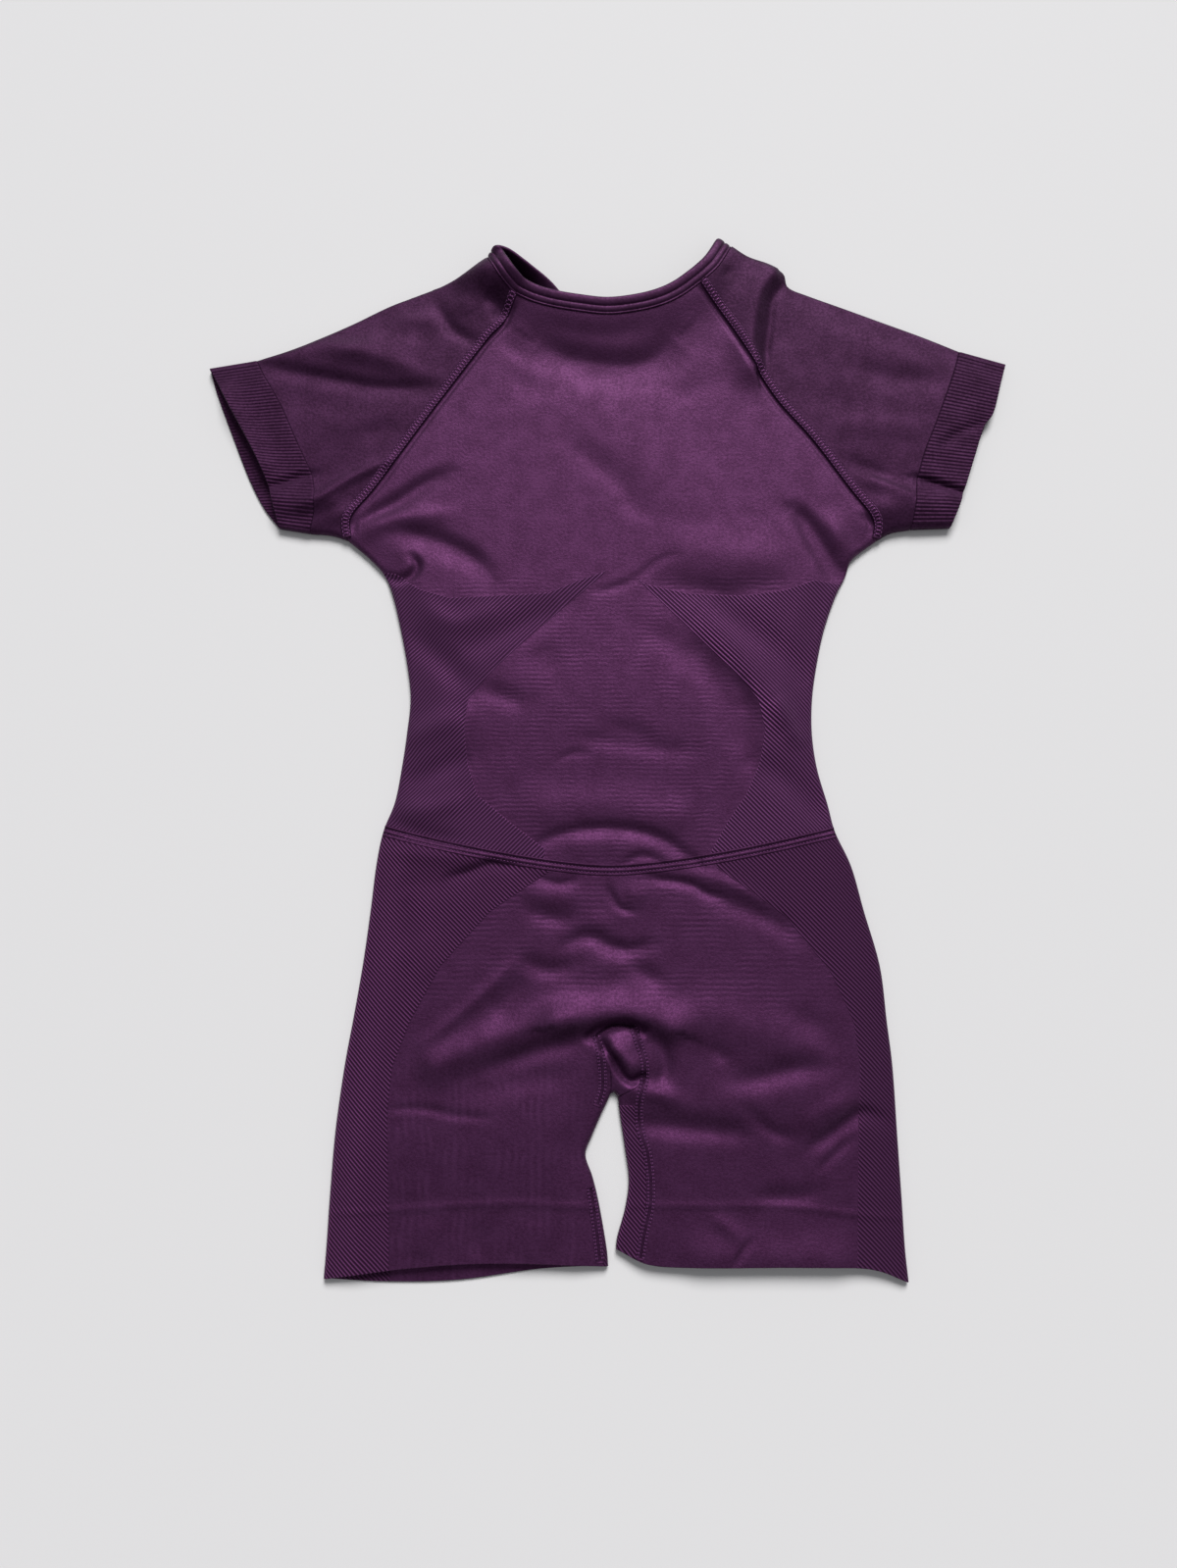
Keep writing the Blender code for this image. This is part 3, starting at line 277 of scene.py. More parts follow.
CREASES = creases(
    # left sleeve and cuff
    ([(-206, 224), (-186, 226), (-167, 231), (-148, 227), (-128, 221), (-106, 213)], 6.5, 2.4),
    ([(-208, 222), (-196, 218), (-186, 215.5), (-170, 212.5), (-155, 209.5), (-137, 206), (-118, 205),
      (-101, 206)], 5, -2.6, 0.2),
    ([(-196, 204), (-170, 197), (-140, 195)], 12, -1.2),
    ([(-124, 249.5), (-112, 247), (-102, 246)], 4, 0.8),
    ([(-136, 241), (-118, 236), (-103, 236)], 6, -0.9),
    ([(-101, 257), (-96, 248), (-91, 241), (-84, 236), (-76, 232)], 4, -2.2),
    ([(-86, 260), (-80, 250)], 6, 1.2),
    ([(-71, 262), (-64, 256), (-61, 246)], 5, -4.6),
    ([(-176, 132), (-167, 136.5), (-151, 147.5), (-137, 155), (-124, 161)], 4, 2.4, -0.2),
    ([(-190, 125), (-172, 127), (-156, 132), (-145, 139)], 4.5, -1.8),
    ([(-160, 182), (-140, 186), (-126, 193)], 9, 1.1),
    ([(-144, 175), (-122, 182)], 6, -0.9),
    ([(-200, 142.5), (-194, 144.5), (-180, 150), (-169, 152.5)], 2.8, -2.6),
    # right sleeve and cuff
    ([(104, 269), (98, 260.4), (96.5, 247), (94.5, 232.5), (93.5, 218)], 2.4, -2.2),
    ([(70, 276), (73, 273)], 3.5, -1.2),
    ([(146, 218), (165, 212), (181, 210.5), (198, 210.5)], 7, -1.6),
    ([(150, 150.5), (158, 147), (168, 142.5), (178, 138)], 4.5, 2.4, 0.2),
    ([(140, 161), (150, 156), (164, 151)], 5, -1.4),
    ([(178, 151), (188, 148.5), (195, 146), (208, 141.8), (214, 141)], 3, -3.6, 0.25),
    ([(222, 185), (213, 181), (205, 177.5), (194, 169)], 3.2, -1.5),
    ([(134, 187), (160, 182), (186, 180)], 8, 0.9),
    ([(126, 199), (150, 190)], 8, -0.7),
    ([(111, 256), (107, 246), (105, 230)], 8, -0.8),
    # neck and chest
    ([(-40, 232), (-30, 226), (-14, 221), (12, 218), (30, 224), (40, 234)], 11, -5.0, 0.25),
    ([(-34, 243), (-18, 238), (2, 236), (20, 240)], 5, -0.6),
    ([(-60, 214), (-44, 206), (-30, 204)], 7, -0.8),
    ([(30, 206), (48, 202), (66, 208)], 8, -0.7),
    ([(-62, 236), (-54, 228), (-42, 221)], 6, -0.9),
    ([(-24, 171), (-8, 160), (8, 146), (16, 133), (27, 126)], 7, -1.1, -0.2),
    ([(-149, 120), (-134, 128.5), (-120, 137), (-107, 146), (-92, 153.5)], 5.2, -3.2, 0.2),
    ([(-150, 112), (-133, 122), (-112, 126), (-90, 128)], 6, 2.2),
    ([(-121, 118), (-108, 115.5), (-94, 111), (-80, 104), (-69, 95)], 6.6, -3.4, 0.25),
    ([(-138, 96), (-128, 91), (-119, 89), (-111.5, 92.5), (-109, 98), (-112, 103)], 2.4, -4.4),
    ([(-2, 82), (8, 86), (17, 90), (24, 96), (31, 101), (40, 104)], 2.6, -0.8, 0.2),
    ([(-8, 82), (3, 84), (12, 86)], 2, -0.5),
    ([(27, 87), (50, 83), (75, 83), (97, 87)], 7, -1.5),
    ([(109, 131), (114, 126), (119, 118), (125, 107), (131, 97), (138, 91), (152, 79)], 5.2, -5.4, 0.15),
    ([(128, 126), (135, 113), (143, 102)], 5, 2.2),
    ([(147, 128), (155, 122)], 2.4, -1.6),
    # bodice centre and its sides of diagonal lines
    ([(-26, -15), (-22, -13), (-17, -11.5), (-9, -12)], 1.9, -0.8, 0.2),
    ([(0, 5), (14, 1), (28, -3.5)], 4.5, -0.9),
    ([(-16, -3), (10, -6), (30, -9), (50, -10.5)], 5, -1.1),
    ([(-70, 26), (-58, 20), (-46, 18)], 6, -1.6),
    ([(74, 32), (78, 22), (78, 10)], 5, -1.2),
    ([(-38, 50), (-30, 34)], 9, -0.8),
    ([(20, 60), (34, 52), (50, 40)], 8, -0.9),
    ([(-104, 73), (-86, 63), (-62, 73)], 6, 2.2),
    ([(-112, 58), (-93, 41), (-78, 26)], 8, -3.4),
    ([(-84, 46), (-58, 58), (-26, 74)], 7, -2.6),
    ([(-114, -5), (-97, 3), (-80, 8)], 8, 3.2),
    ([(-114, -30), (-96, -22), (-76, -13)], 7, -3.0),
    ([(-118, -43), (-98, -44), (-80, -37)], 6, 2.2),
    ([(-120, -51), (-104, -58), (-84, -61)], 5, -2.2),
    ([(62, 80), (85, 60), (99, 48), (115, 27)], 8, -3.6),
    ([(52, 70), (72, 49), (88, 29), (103, 2)], 8, 4.2),
    ([(46, 54), (66, 22), (80, -12)], 9, -2.0),
    ([(96, 21), (111, -9)], 6, 2.6),
    ([(86, -16), (107, -31), (125, -49)], 8, -3.4),
    # waist seam and below it
    ([(-38, -63), (-31, -59), (-17, -55), (-4, -53.8), (5, -53.8), (14, -54.6), (23, -56.5), (35, -61),
      (45, -68.5), (52, -73)], 3.6, -2.6, 0.3),
    ([(11, -74), (15, -71), (21, -69.6), (27, -71), (32, -74)], 1.9, -1.6),
    ([(-126, -65), (-108, -68), (-88, -70), (-68, -71.5)], 5.5, 2.0),
    ([(-88, -82), (-78, -79.2), (-71, -76.5), (-64, -74.3), (-58, -75.3), (-50, -76)], 2.7, -2.8, 0.2),
    ([(-118, -87), (-92, -85), (-70, -83)], 7, -1.2),
    ([(-111, -92), (-105, -104), (-98, -117)], 6, -1.4),
    ([(-116, -120), (-104, -128), (-96, -138)], 7, 1.0),
    ([(-37, -81.5), (-31, -84.3), (-24, -85.2), (-16, -82.5)], 2.7, -1.4),
    ([(-48, -88), (-30, -93), (-12, -92)], 6, 1.1),
    ([(-42, -100), (-31, -104), (-19, -104.5)], 5, -1.7),
    ([(-10, -107), (4, -106)], 6, 0.8),
    ([(-22, -119), (-13, -114.6), (-5, -115), (3, -119.2), (14, -121.3), (25, -118.5)], 4.4, -2.6, 0.15),
    ([(-8, -130), (8, -130), (22, -127)], 7, 0.9),
    ([(12, -128), (21, -134), (31, -140)], 5, -1.4),
    ([(1, -87), (3.5, -93), (8, -98.8), (16, -101.2)], 2, -1.6, -0.2),
    ([(11, -91), (24, -91)], 6, 1.4),
    ([(24, -81.5), (32, -82.6), (40, -83.6), (49, -85.7), (56, -89.8), (66, -92.8)], 2.6, -2.4, 0.2),
    ([(60, -93), (75, -98), (90, -103.5), (106, -114)], 6.5, -1.9),
    ([(48, -79), (64, -84), (80, -91), (96, -101)], 4.5, 1.6),
    # thighs and crotch
    ([(-52, -129), (-61, -139), (-72, -149.5), (-84, -160), (-101, -174)], 3.8, 1.8, -0.2),
    ([(-45, -137), (-52, -147), (-61, -159)], 6, -1.8),
    ([(-46, -127), (-31, -133), (-18, -130)], 5, -1.8),
    ([(-68, -187), (-44, -178.5), (-25, -172), (-12, -168.5)], 5.5, -2.8, 0.2),
    ([(-70, -199), (-45, -192), (-22, -190)], 7, -1.4),
    ([(59, -173), (66, -182)], 4, -1.3),
    ([(72, -192), (85, -190.5), (102, -185.5), (120, -184)], 6, -2.4),
    ([(104, -156), (116, -164), (126, -178)], 7, -1.2),
    ([(25, -166), (31, -175), (33, -186), (29, -194)], 4.5, -3.0),
    ([(10, -214.5), (22, -215), (40, -216.5), (58, -218), (77, -220)], 6, -3.0),
    ([(6, -187), (11, -194.5), (18, -199), (28, -199), (42, -204)], 5, 2.6),
    ([(76, -206), (84, -214), (92, -219.5), (101, -222)], 3.6, -1.5),
    ([(111, -227), (120, -221.5), (130, -214.5), (140, -208.5), (153, -213)], 4, -2.8, 0.2),
    ([(117, -238), (125, -230), (134, -222)], 2.2, -1.3),
    ([(106, -216), (120, -208.5), (134, -201)], 6, 1.6),
    ([(82, -252), (100, -253), (116, -250)], 4.5, -1.5),
    ([(70, -288), (74, -281), (78, -275)], 1.5, -1.8),
    ([(58, -263), (66, -269), (73, -275)], 3.6, 1.2),
    ([(-117, -208), (-99, -207.5), (-81, -211), (-62, -212.5)], 2.2, -1.0),
    ([(-98, -286), (-92, -266)], 8, 0.9),
    ([(-70, -286), (-66, -268)], 6, -0.9),
    ([(-42, -286), (-37, -266)], 8, 0.9),
)
# Creases of the underside, as low hollows between the places where it rests
HIDDEN = creases(
    ([(-96, 150), (-62, 132), (-20, 126)], 9, 1.4),
    ([(18, 172), (52, 158), (104, 160)], 8, 1.1),
    ([(-104, 96), (-70, 84), (-30, 88), (4, 80)], 10, 1.3),
    ([(30, 60), (66, 44), (104, 50)], 8, 1.2),
    ([(-100, 16), (-60, 4), (-24, 10)], 9, 1.1),
    ([(8, -22), (52, -34), (106, -22)], 9, 1.4),
    ([(-70, -104), (-24, -122), (30, -118)], 11, 1.5),
    ([(-126, -166), (-88, -182), (-46, -176)], 9, 1.3),
    ([(44, -170), (86, -190), (140, -182)], 9, 1.4),
    ([(-118, -242), (-84, -234), (-40, -238)], 8, 1.0),
    ([(46, -236), (80, -246), (128, -240)], 8, 1.1),
    ([(-186, 196), (-150, 190), (-108, 204)], 9, 1.3),
    ([(112, 204), (148, 192), (190, 198)], 9, 1.2),
)
# Hem lines: a low even ridge where each hem is turned and welded
WELTS = creases(
    ([(-150, -263), (-132, -262), (-114, -261), (-78, -258), (-44, -257.2), (-3, -259)], 1.3, 0.55),
    ([(10, -258), (29, -257.8), (69, -257.7), (100, -257.8), (134, -261.7), (161, -264)], 1.3, 0.5),
)
# The crotch opening: the gusset's own surface, and the groove that shades its lower edge
TONGUE = creases(
    ([(4, -177), (9, -178.5), (14, -184)], 6.5, 4.2),
    ([(8, -171), (14, -172)], 4.0, 0.8),
    ([(-2, -172), (1.5, -177), (6, -183), (10.5, -190), (15, -192.5), (20, -190.5)], 2.3, -6.0),
    ([(-8, -168.8), (-3, -165.8), (4.5, -163), (12, -162.3), (20, -165)], 2.1, -11.0),
)
# Grooves on the body's side of the raglan seams: distance from the seam, width and depth, and the start
# and step of the points along it
RAGLAN_GROOVE = (3.8, 1.5, -1.2)
GROOVE_START, GROOVE_STEP = 4.0, 12.0

# Zones of diagonal lines: outlines that run off past the side folds, the hems and the waist
FAR = 60.0
BODICE_ZONES = [
    [(2, 95), (-33, 65), (-61, 39), (-78, 19), (-80, 2), (-78, -18), (-72, -36), (-54, -51), (-34, -66),
     (-34, -120), (-240, -120), (-240, 92), (-123, 92), (-107, 83), (-90, 78), (-67, 79), (-33, 81),
     (-19, 87)],
    [(11, 96), (46, 62), (74, 34), (86, 19), (90, 2), (87, -17), (79, -35), (68, -51), (58, -69),
     (58, -120), (240, -120), (240, 86), (137, 86), (120, 89), (103, 83), (81, 80), (47, 81), (24, 86)],
]
SHORTS_ZONES = [
    [(-29, -77), (-64, -101), (-91, -131), (-107, -161), (-116, -185), (-118, -208), (-116, -265),
     (-114, -360), (-240, -360), (-240, -30), (-29, -30)],
    [(62, -76), (100, -103), (124, -133), (136, -160), (139, -183), (137, -233), (135, -289),
     (135, -360), (240, -360), (240, -30), (62, -30)],
    [(19, -206), (22, -234), (22, -259), (19, -300), (0, -300), (3, -206)],
]


def curve(points, steps=10):
    """Smooth curve through the points, with this many steps to each stretch."""
    p = np.array(points, float)
    p = np.vstack([2 * p[0] - p[1], p, 2 * p[-1] - p[-2]])
    a, b, c, d = p[:-3], p[1:-2], p[2:-1], p[3:]
    t = np.linspace(0, 1, steps, endpoint=False)[:, None, None]
    bend = (c - a) * t + (2 * a - 5 * b + 4 * c - d) * t ** 2 + (3 * b - a - 3 * c + d) * t ** 3
    return np.vstack([(b + bend / 2).transpose(1, 0, 2).reshape(-1, p.shape[1]), p[-2]])


def lengths(line):
    """Length of a line from its start to each of its points."""
    return np.concatenate([[0.0], np.cumsum(np.linalg.norm(np.diff(line, axis=0), axis=1))])


def unit(vectors):
    """Vectors brought to length one."""
    return vectors / np.maximum(np.linalg.norm(vectors, axis=-1, keepdims=True), 1e-9)


def places(line, distances):
    """Points of a line at these distances from its start."""
    run = lengths(line)
    return np.column_stack([np.interp(distances, run, line[:, k]) for k in range(line.shape[1])])


def cells(line, size):
    """How many cells of about this size fit along a line."""
    return max(int(round(lengths(line)[-1] / size)), 2)


def spread(line, count, first=(), last=()):
    """Points along a line, evenly but for the steps given next to its ends."""
    total = lengths(line)[-1]
    low, high = sum(first), total - sum(last)
    start = [sum(first[:k]) for k in range(len(first))]
    end = [total - sum(last[:k]) for k in reversed(range(len(last)))]
    middle = np.linspace(low, high, count - len(first) - len(last) + 1)
    return places(line, np.concatenate([start, middle, end]))


def between(line, low, high):
    """The stretch of a rising line between two levels of Y."""
    inside = line[(line[:, 1] > low) & (line[:, 1] < high)]
    ends = [[np.interp(y, line[:, 1], line[:, 0]), y] for y in (low, high)]
    return np.vstack([ends[:1], inside, ends[1:]])


def waist_seam():
    """Plan points of the waist seam from the left side fold to the right one."""
    share = np.linspace(0, 1, WAIST_POINTS)[:, None]
    line = np.array(WAIST_LEFT) * (1 - share) + np.array(WAIST_RIGHT) * share
    line[:, 1] -= WAIST_DIP * (1 - np.abs(2 * share[:, 0] - 1) ** WAIST_SHARPNESS)
    return line


def measure(points, line, reach):
    """The plan points near a line, by number, with their distance from it, place along it and side."""
    flat = line[:, :2]
    low, high = flat.min(0) - reach, flat.max(0) + reach
    near = np.nonzero(((points > low) & (points < high)).all(1))[0]
    p = points[near]
    best = np.full(len(p), np.inf)
    along = np.zeros(len(p))
    side = np.zeros(len(p))
    run = lengths(flat)
    for k in range(len(flat) - 1):
        step = flat[k + 1] - flat[k]
        size = step @ step
        t = np.clip((p - flat[k]) @ step / size, 0, 1)
        gap = p - flat[k] - t[:, None] * step
        distance = np.hypot(gap[:, 0], gap[:, 1])
        closer = distance < best
        best[closer] = distance[closer]
        along[closer] = run[k] + t[closer] * math.sqrt(size)
        side[closer] = step[0] * gap[closer, 1] - step[1] * gap[closer, 0]
    return near, best, along, np.sign(side)


body_left = curve([(left, y) for y, left, right in BODY_SECTIONS], 5)
body_right = curve([(right, y) for y, left, right in BODY_SECTIONS], 5)


def raised(line, height):
    """A plan line given one height."""
    return np.column_stack([line, np.full(len(line), height)])


FOLDS = [raised(body_left, CRISP), raised(body_right, CRISP)]
FOLDS += [raised(curve(line), CRISP) for line in (LEFT_INNER_LEG, RIGHT_INNER_LEG, CROTCH_FOLD)]
for half in (LEFT, RIGHT):
    FOLDS += [curve(half.shoulder), curve(half.underarm)]
    for end, fold in ((half.cuff_top[0], half.shoulder[0]), (half.cuff_top[-1], half.underarm[0])):
        FOLDS.append(np.array([end + (CRISP,), fold], float))


def fold_near(points):
    """Distance to the nearest side fold, the height of the fold there, and the way out towards it."""
    distance = np.full(len(points), FOLD_REACH)
    height = np.full(len(points), CRISP)
    outward = np.zeros((len(points), 2))
    for fold in FOLDS:
        near, gap, along, _ = measure(points, fold, FOLD_REACH)
        closer = gap < distance[near]
        index = near[closer]
        distance[index] = gap[closer]
        foot = places(fold[:, :2], along[closer])
        height[index] = np.interp(along[closer], lengths(fold[:, :2]), fold[:, 2])
        outward[index] = foot - points[index]
    return distance, height, outward / np.maximum(distance, 1e-6)[:, None]


def rounded(distance, radius):
    """Share of the way up or down a round fold at this distance from its edge."""
    inward = np.maximum(1 - distance / radius, 0)
    return np.sqrt(1 - inward ** 2)


def groove(line, side):
    """The groove beside a raglan seam, on this side of it."""
    offset, width, depth = RAGLAN_GROOVE
    distances = np.arange(GROOVE_START, lengths(curve(line))[-1], GROOVE_STEP)
    centre, _, across = seam_frame(curve(line), distances)
    return Crease((centre + across * side * offset).tolist(), width, depth)


def seam_frame(line, distances):
    """Plan points along a seam and the directions along it and across it, to its left."""
    line = np.vstack([2 * line[0] - line[1], line, 2 * line[-1] - line[-2]])
    distances = distances + np.linalg.norm(line[1] - line[0])
    centre = places(line, distances)
    ahead = unit(places(line, distances + HALF_STEP) - places(line, distances - HALF_STEP))
    return centre, ahead, np.column_stack([-ahead[:, 1], ahead[:, 0]])


GROOVES = [groove(LEFT.raglan_back, -1), groove(RIGHT.raglan_back, 1)]


def raise_creases(total, points, creases, fade=0.0, depth=1.0):
    """Adds creases to heights: their rise times depth, less this share of it at their ends."""
    for crease in creases:
        line = curve(crease.points, 4)
        near, gap, along, side = measure(points, line, CREASE_REACH * crease.width)
        width = crease.width * (1 - crease.lean * side)
        share = along / lengths(line)[-1]
        rise = crease.rise * depth * (1 - fade * np.abs(2 * share - 1) ** 3)
        total[near] += rise * np.exp(-((gap / width) ** 2))


def relief(points):
    """Height of the upper layer's outside where no side fold is near."""
    total = np.full(len(points), FLAT_HEIGHT)
    raise_creases(total, points, MOUNDS + WELTS + TONGUE + GROOVES)
    raise_creases(total, points, CREASES, FADE, DEPTH)
    return LEAST_HEIGHT + softly_above(total - LEAST_HEIGHT)


def softly_above(height):
    """The height where it is well above zero, easing out to zero where it falls below."""
    return (height + np.sqrt(height ** 2 + SOFT_FLOOR ** 2)) / 2


def upper(points, folds=None):
    """The outside of the upper layer, thinner towards the side folds and round at their edge."""
    distance, fold, _ = folds or fold_near(points)
    high = relief(points)
    inward = distance / FOLD_REACH
    pressed = PRESSED * (1 - inward ** 2 * (3 - 2 * inward)) * np.clip(2 - fold / CRISP, 0, 1)
    high = high * (1 - pressed)
    return fold + (high - fold) * rounded(distance, ROUNDNESS * high)


def lower(points, folds=None):
    """The underside of the lower layer: on the floor inside its rounded edge, but for its own creases."""
    distance, fold, _ = folds or fold_near(points)
    hollow = np.zeros(len(points))
    raise_creases(hollow, points, HIDDEN, FADE)
    room = np.maximum(relief(points) * (1 - PRESSED) - 2 * WALL - LAYER_GAP, 0)
    inward = distance / FOLD_REACH
    return fold * (1 - rounded(distance, ROUNDNESS * fold)) + np.minimum(hollow, room) * inward


def twill_zone(points, zones):
    """How far inside a zone of diagonal lines each plan point lies, below zero outside."""
    best = np.full(len(points), -FAR)
    for zone in zones:
        outline = np.array(zone + zone[:1], float)
        inside = np.zeros(len(points), bool)
        for a, b in zip(outline, outline[1:]):
            if a[1] != b[1]:
                crosses = (a[1] > points[:, 1]) != (b[1] > points[:, 1])
                at = a[0] + (points[:, 1] - a[1]) / (b[1] - a[1]) * (b[0] - a[0])
                inside ^= crosses & (points[:, 0] < at)
        distance = np.full(len(points), FAR)
        near, gap, _, _ = measure(points, outline, FAR)
        distance[near] = np.minimum(gap, FAR)
        best = np.maximum(best, np.where(inside, distance, -distance))
    return best


def normals(height, points):
    """Upward normals of a height field at plan points."""
    steps = np.array([[HALF_STEP, 0.0], [0.0, HALF_STEP]])
    slopes = [(height(points + step) - height(points - step)) / (2 * HALF_STEP) for step in steps]
    return unit(np.column_stack([-slopes[0], -slopes[1], np.ones(len(points))]))


def patch(near, far, left, right):
    """Grid of plan points between four edges: rows from near to far, columns from left to right."""
    share = [lengths(edge) / lengths(edge)[-1] for edge in (near, far, left, right)]
    across = np.linspace(0, 1, len(near))[None, :]
    v = share[2][:, None] * (1 - across) + share[3][:, None] * across
    u = share[0][None, :] * (1 - v) + share[1][None, :] * v
    u, v = u[..., None], v[..., None]
    corners = (near[0] * (1 - u) + near[-1] * u) * (1 - v) + (far[0] * (1 - u) + far[-1] * u) * v
    sides = left[:, None] * (1 - u) + right[:, None] * u
    return near[None] * (1 - v) + far[None] * v + sides - corners


class Cloth:
    """A wall of cloth: points on its outside, faces between them, and the inside a wall behind."""

    def __init__(self, zones=()):
        self.zones = zones
        self.points = []
        self.cut = []
        self.faces = []
        self.count = 0

    def layer(self, plan, height, upward, numbers=None):
        """Adds a grid of plan points and its faces. numbers holds the points it shares, -1 elsewhere.

        The cut is the plan spread out again beside a fold, by how far the upper layer drops there."""
        if numbers is None:
            numbers = np.full(plan.shape[:2], -1)
        new = numbers < 0
        added = plan[new]
        numbers[new] = np.arange(self.count, self.count + len(added))
        self.count += len(added)
        folds = fold_near(added)
        outside = np.column_stack([added, height(added, folds)])
        drop = np.maximum(FLAT_HEIGHT - outside[:, 2], 0) * (1 - folds[0] / FOLD_REACH)
        self.points.append(outside)
        self.cut.append(added + folds[2] * (drop if upward else 0 * drop)[:, None])
        corners = [numbers[:-1, :-1], numbers[:-1, 1:], numbers[1:, 1:], numbers[1:, :-1]]
        faces = np.stack(corners, -1).reshape(-1, 4)
        run, rise = plan[0, -1] - plan[0, 0], plan[-1, 0] - plan[0, 0]
        if (run[0] * rise[1] - run[1] * rise[0] > 0) != upward:
            faces = faces[:, ::-1]
        self.faces.append(faces)
        return numbers

    def build(self, name, material, over=0.0, under=0.0):
        """The closed wall as an object, with a soft lip along every open edge.

        over and under raise ribs on its outside and on its inside."""
        outer = np.vstack(self.points)
        faces = np.vstack(self.faces)
        a, b, c, d = (outer[faces[:, k]] for k in range(4))
        across = np.cross(c - a, d - b)
        normal = np.zeros_like(outer)
        for k in range(4):
            np.add.at(normal, faces[:, k], across)
        normal = unit(normal)
        starts, ends = faces.ravel(), np.roll(faces, -1, axis=1).ravel()
        low, high = np.minimum(starts, ends), np.maximum(starts, ends)
        _, first, uses = np.unique(low * len(outer) + high, return_index=True, return_counts=True)
        open_edges = first[uses == 1]
        a, b = starts[open_edges], ends[open_edges]
        rim = np.zeros(len(outer), bool)
        rim[a] = True
        inner = outer - normal * (WALL + np.reshape(under, (-1, 1)))
        outer = outer + normal * np.reshape(over, (-1, 1))
        pinch = normal * WALL * LIP
        outer[rim] -= pinch[rim]
        inner[rim] += pinch[rim]
        count = len(outer)
        lips = np.column_stack([b, a, a + count, b + count])
        points = np.vstack([outer, inner])
        quads = np.vstack([faces, faces[:, ::-1] + count, lips])
        made = mesh_object(name, points, [quads], material)
        cut = np.vstack(self.cut)
        store(made, "cut", np.vstack([cut, cut]))
        if self.zones:
            store(made, "twill", np.tile(twill_zone(cut, self.zones), 2))
        ride(made)
        return made


def placed(name, data):
    """A new object in the scene."""
    made = bpy.data.objects.new(name, data)
    bpy.context.scene.collection.objects.link(made)
    return made


def mesh_object(name, points, groups, material):
    """A smooth mesh object from points in millimetres and groups of faces."""
    mesh = bpy.data.meshes.new(name)
    mesh.from_pydata((points * MM).tolist(), [], [face for group in groups for face in group.tolist()])
    mesh.shade_smooth()
    mesh.materials.append(material)
    return placed(name, mesh)


def store(piece, name, values):
    """Keeps values at the points of a piece for its material: numbers, or plan points."""
    if values.ndim == 1:
        attribute = piece.data.attributes.new(name, "FLOAT", "POINT")
        attribute.data.foreach_set("value", values.astype(np.float32))
    else:
        attribute = piece.data.attributes.new(name, "FLOAT_VECTOR", "POINT")
        flat = np.column_stack([values, np.zeros(len(values))])
        attribute.data.foreach_set("vector", flat.astype(np.float32).ravel())


def shared_sides(grid, above):
    """Numbers for the points of a grid: those of the grid above along its two sides, and -1 elsewhere."""
    numbers = np.full(grid.shape[:2], -1)
    if above is not None:
        numbers[:, [0, -1]] = above[:, [0, -1]]
    return numbers


def around(rows, after):
    """Faces between closed rows of numbered points and the rows after them."""
    return np.stack([rows, after, np.roll(after, -1, axis=1), np.roll(rows, -1, axis=1)], -1).reshape(-1, 4)


def numbered(points):
    """A number for each point of a grid."""
    return np.arange(points[..., 0].size).reshape(points.shape[:-1])


def swept(name, rings, groups, run, section, material):
    """A band from rings of points along a line, its cut measured along the line and round the section."""
    made = mesh_object(name, rings.reshape(-1, 3), groups, material)
    count, sides = rings.shape[:2]
    store(made, "cut", np.column_stack([np.repeat(run, sides), np.tile(lengths(section), count)]))
    ride(made)
    return made


def ride(piece):
    """Fixes a piece to the one body."""
    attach(piece, "root")


# Pieces of cloth


def bodice(material):
    """One knitted tube up to the underarms, then a back and a front panel between the raglans."""
    underarm = np.array([LEFT.raglan_back[0], RIGHT.raglan_back[0]], float)
    low, high = WAIST_LEFT[1], underarm[0, 1]
    sides = [between(line, low, high) for line in (body_left, body_right)]
    torso_rows = cells(sides[0], CELL)
    raglan_rows = cells(curve(LEFT.raglan_back), CELL)
    cloth = Cloth(BODICE_ZONES)
    grids = []
    for size, raglans, neck in (
        (CELL, (LEFT.raglan_back, RIGHT.raglan_back), NECK_BACK),
        (UNDER_CELL, (LEFT.raglan_front, RIGHT.raglan_front), NECK_FRONT),
    ):
        columns = cells(underarm, size) + 2 * len(RAMP)
        across = spread(underarm, columns, RAMP, RAMP)
        edges = [spread(line, torso_rows, RAMP) for line in sides]
        torso = patch(spread(waist_seam(), columns, RAMP, RAMP), across, *edges)
        edges = [spread(curve(line), raglan_rows, (), RAMP) for line in raglans]
        chest = patch(across, spread(curve(neck), columns, RAMP, RAMP), *edges)
        grids.append(np.concatenate([torso, chest[1:]]))
    back, front = grids
    shared = shared_sides(front, cloth.layer(back, upper, True))
    shared[torso_rows + 1:] = -1
    cloth.layer(front, lower, False, shared)
    return cloth.build("bodice_cloth", material)


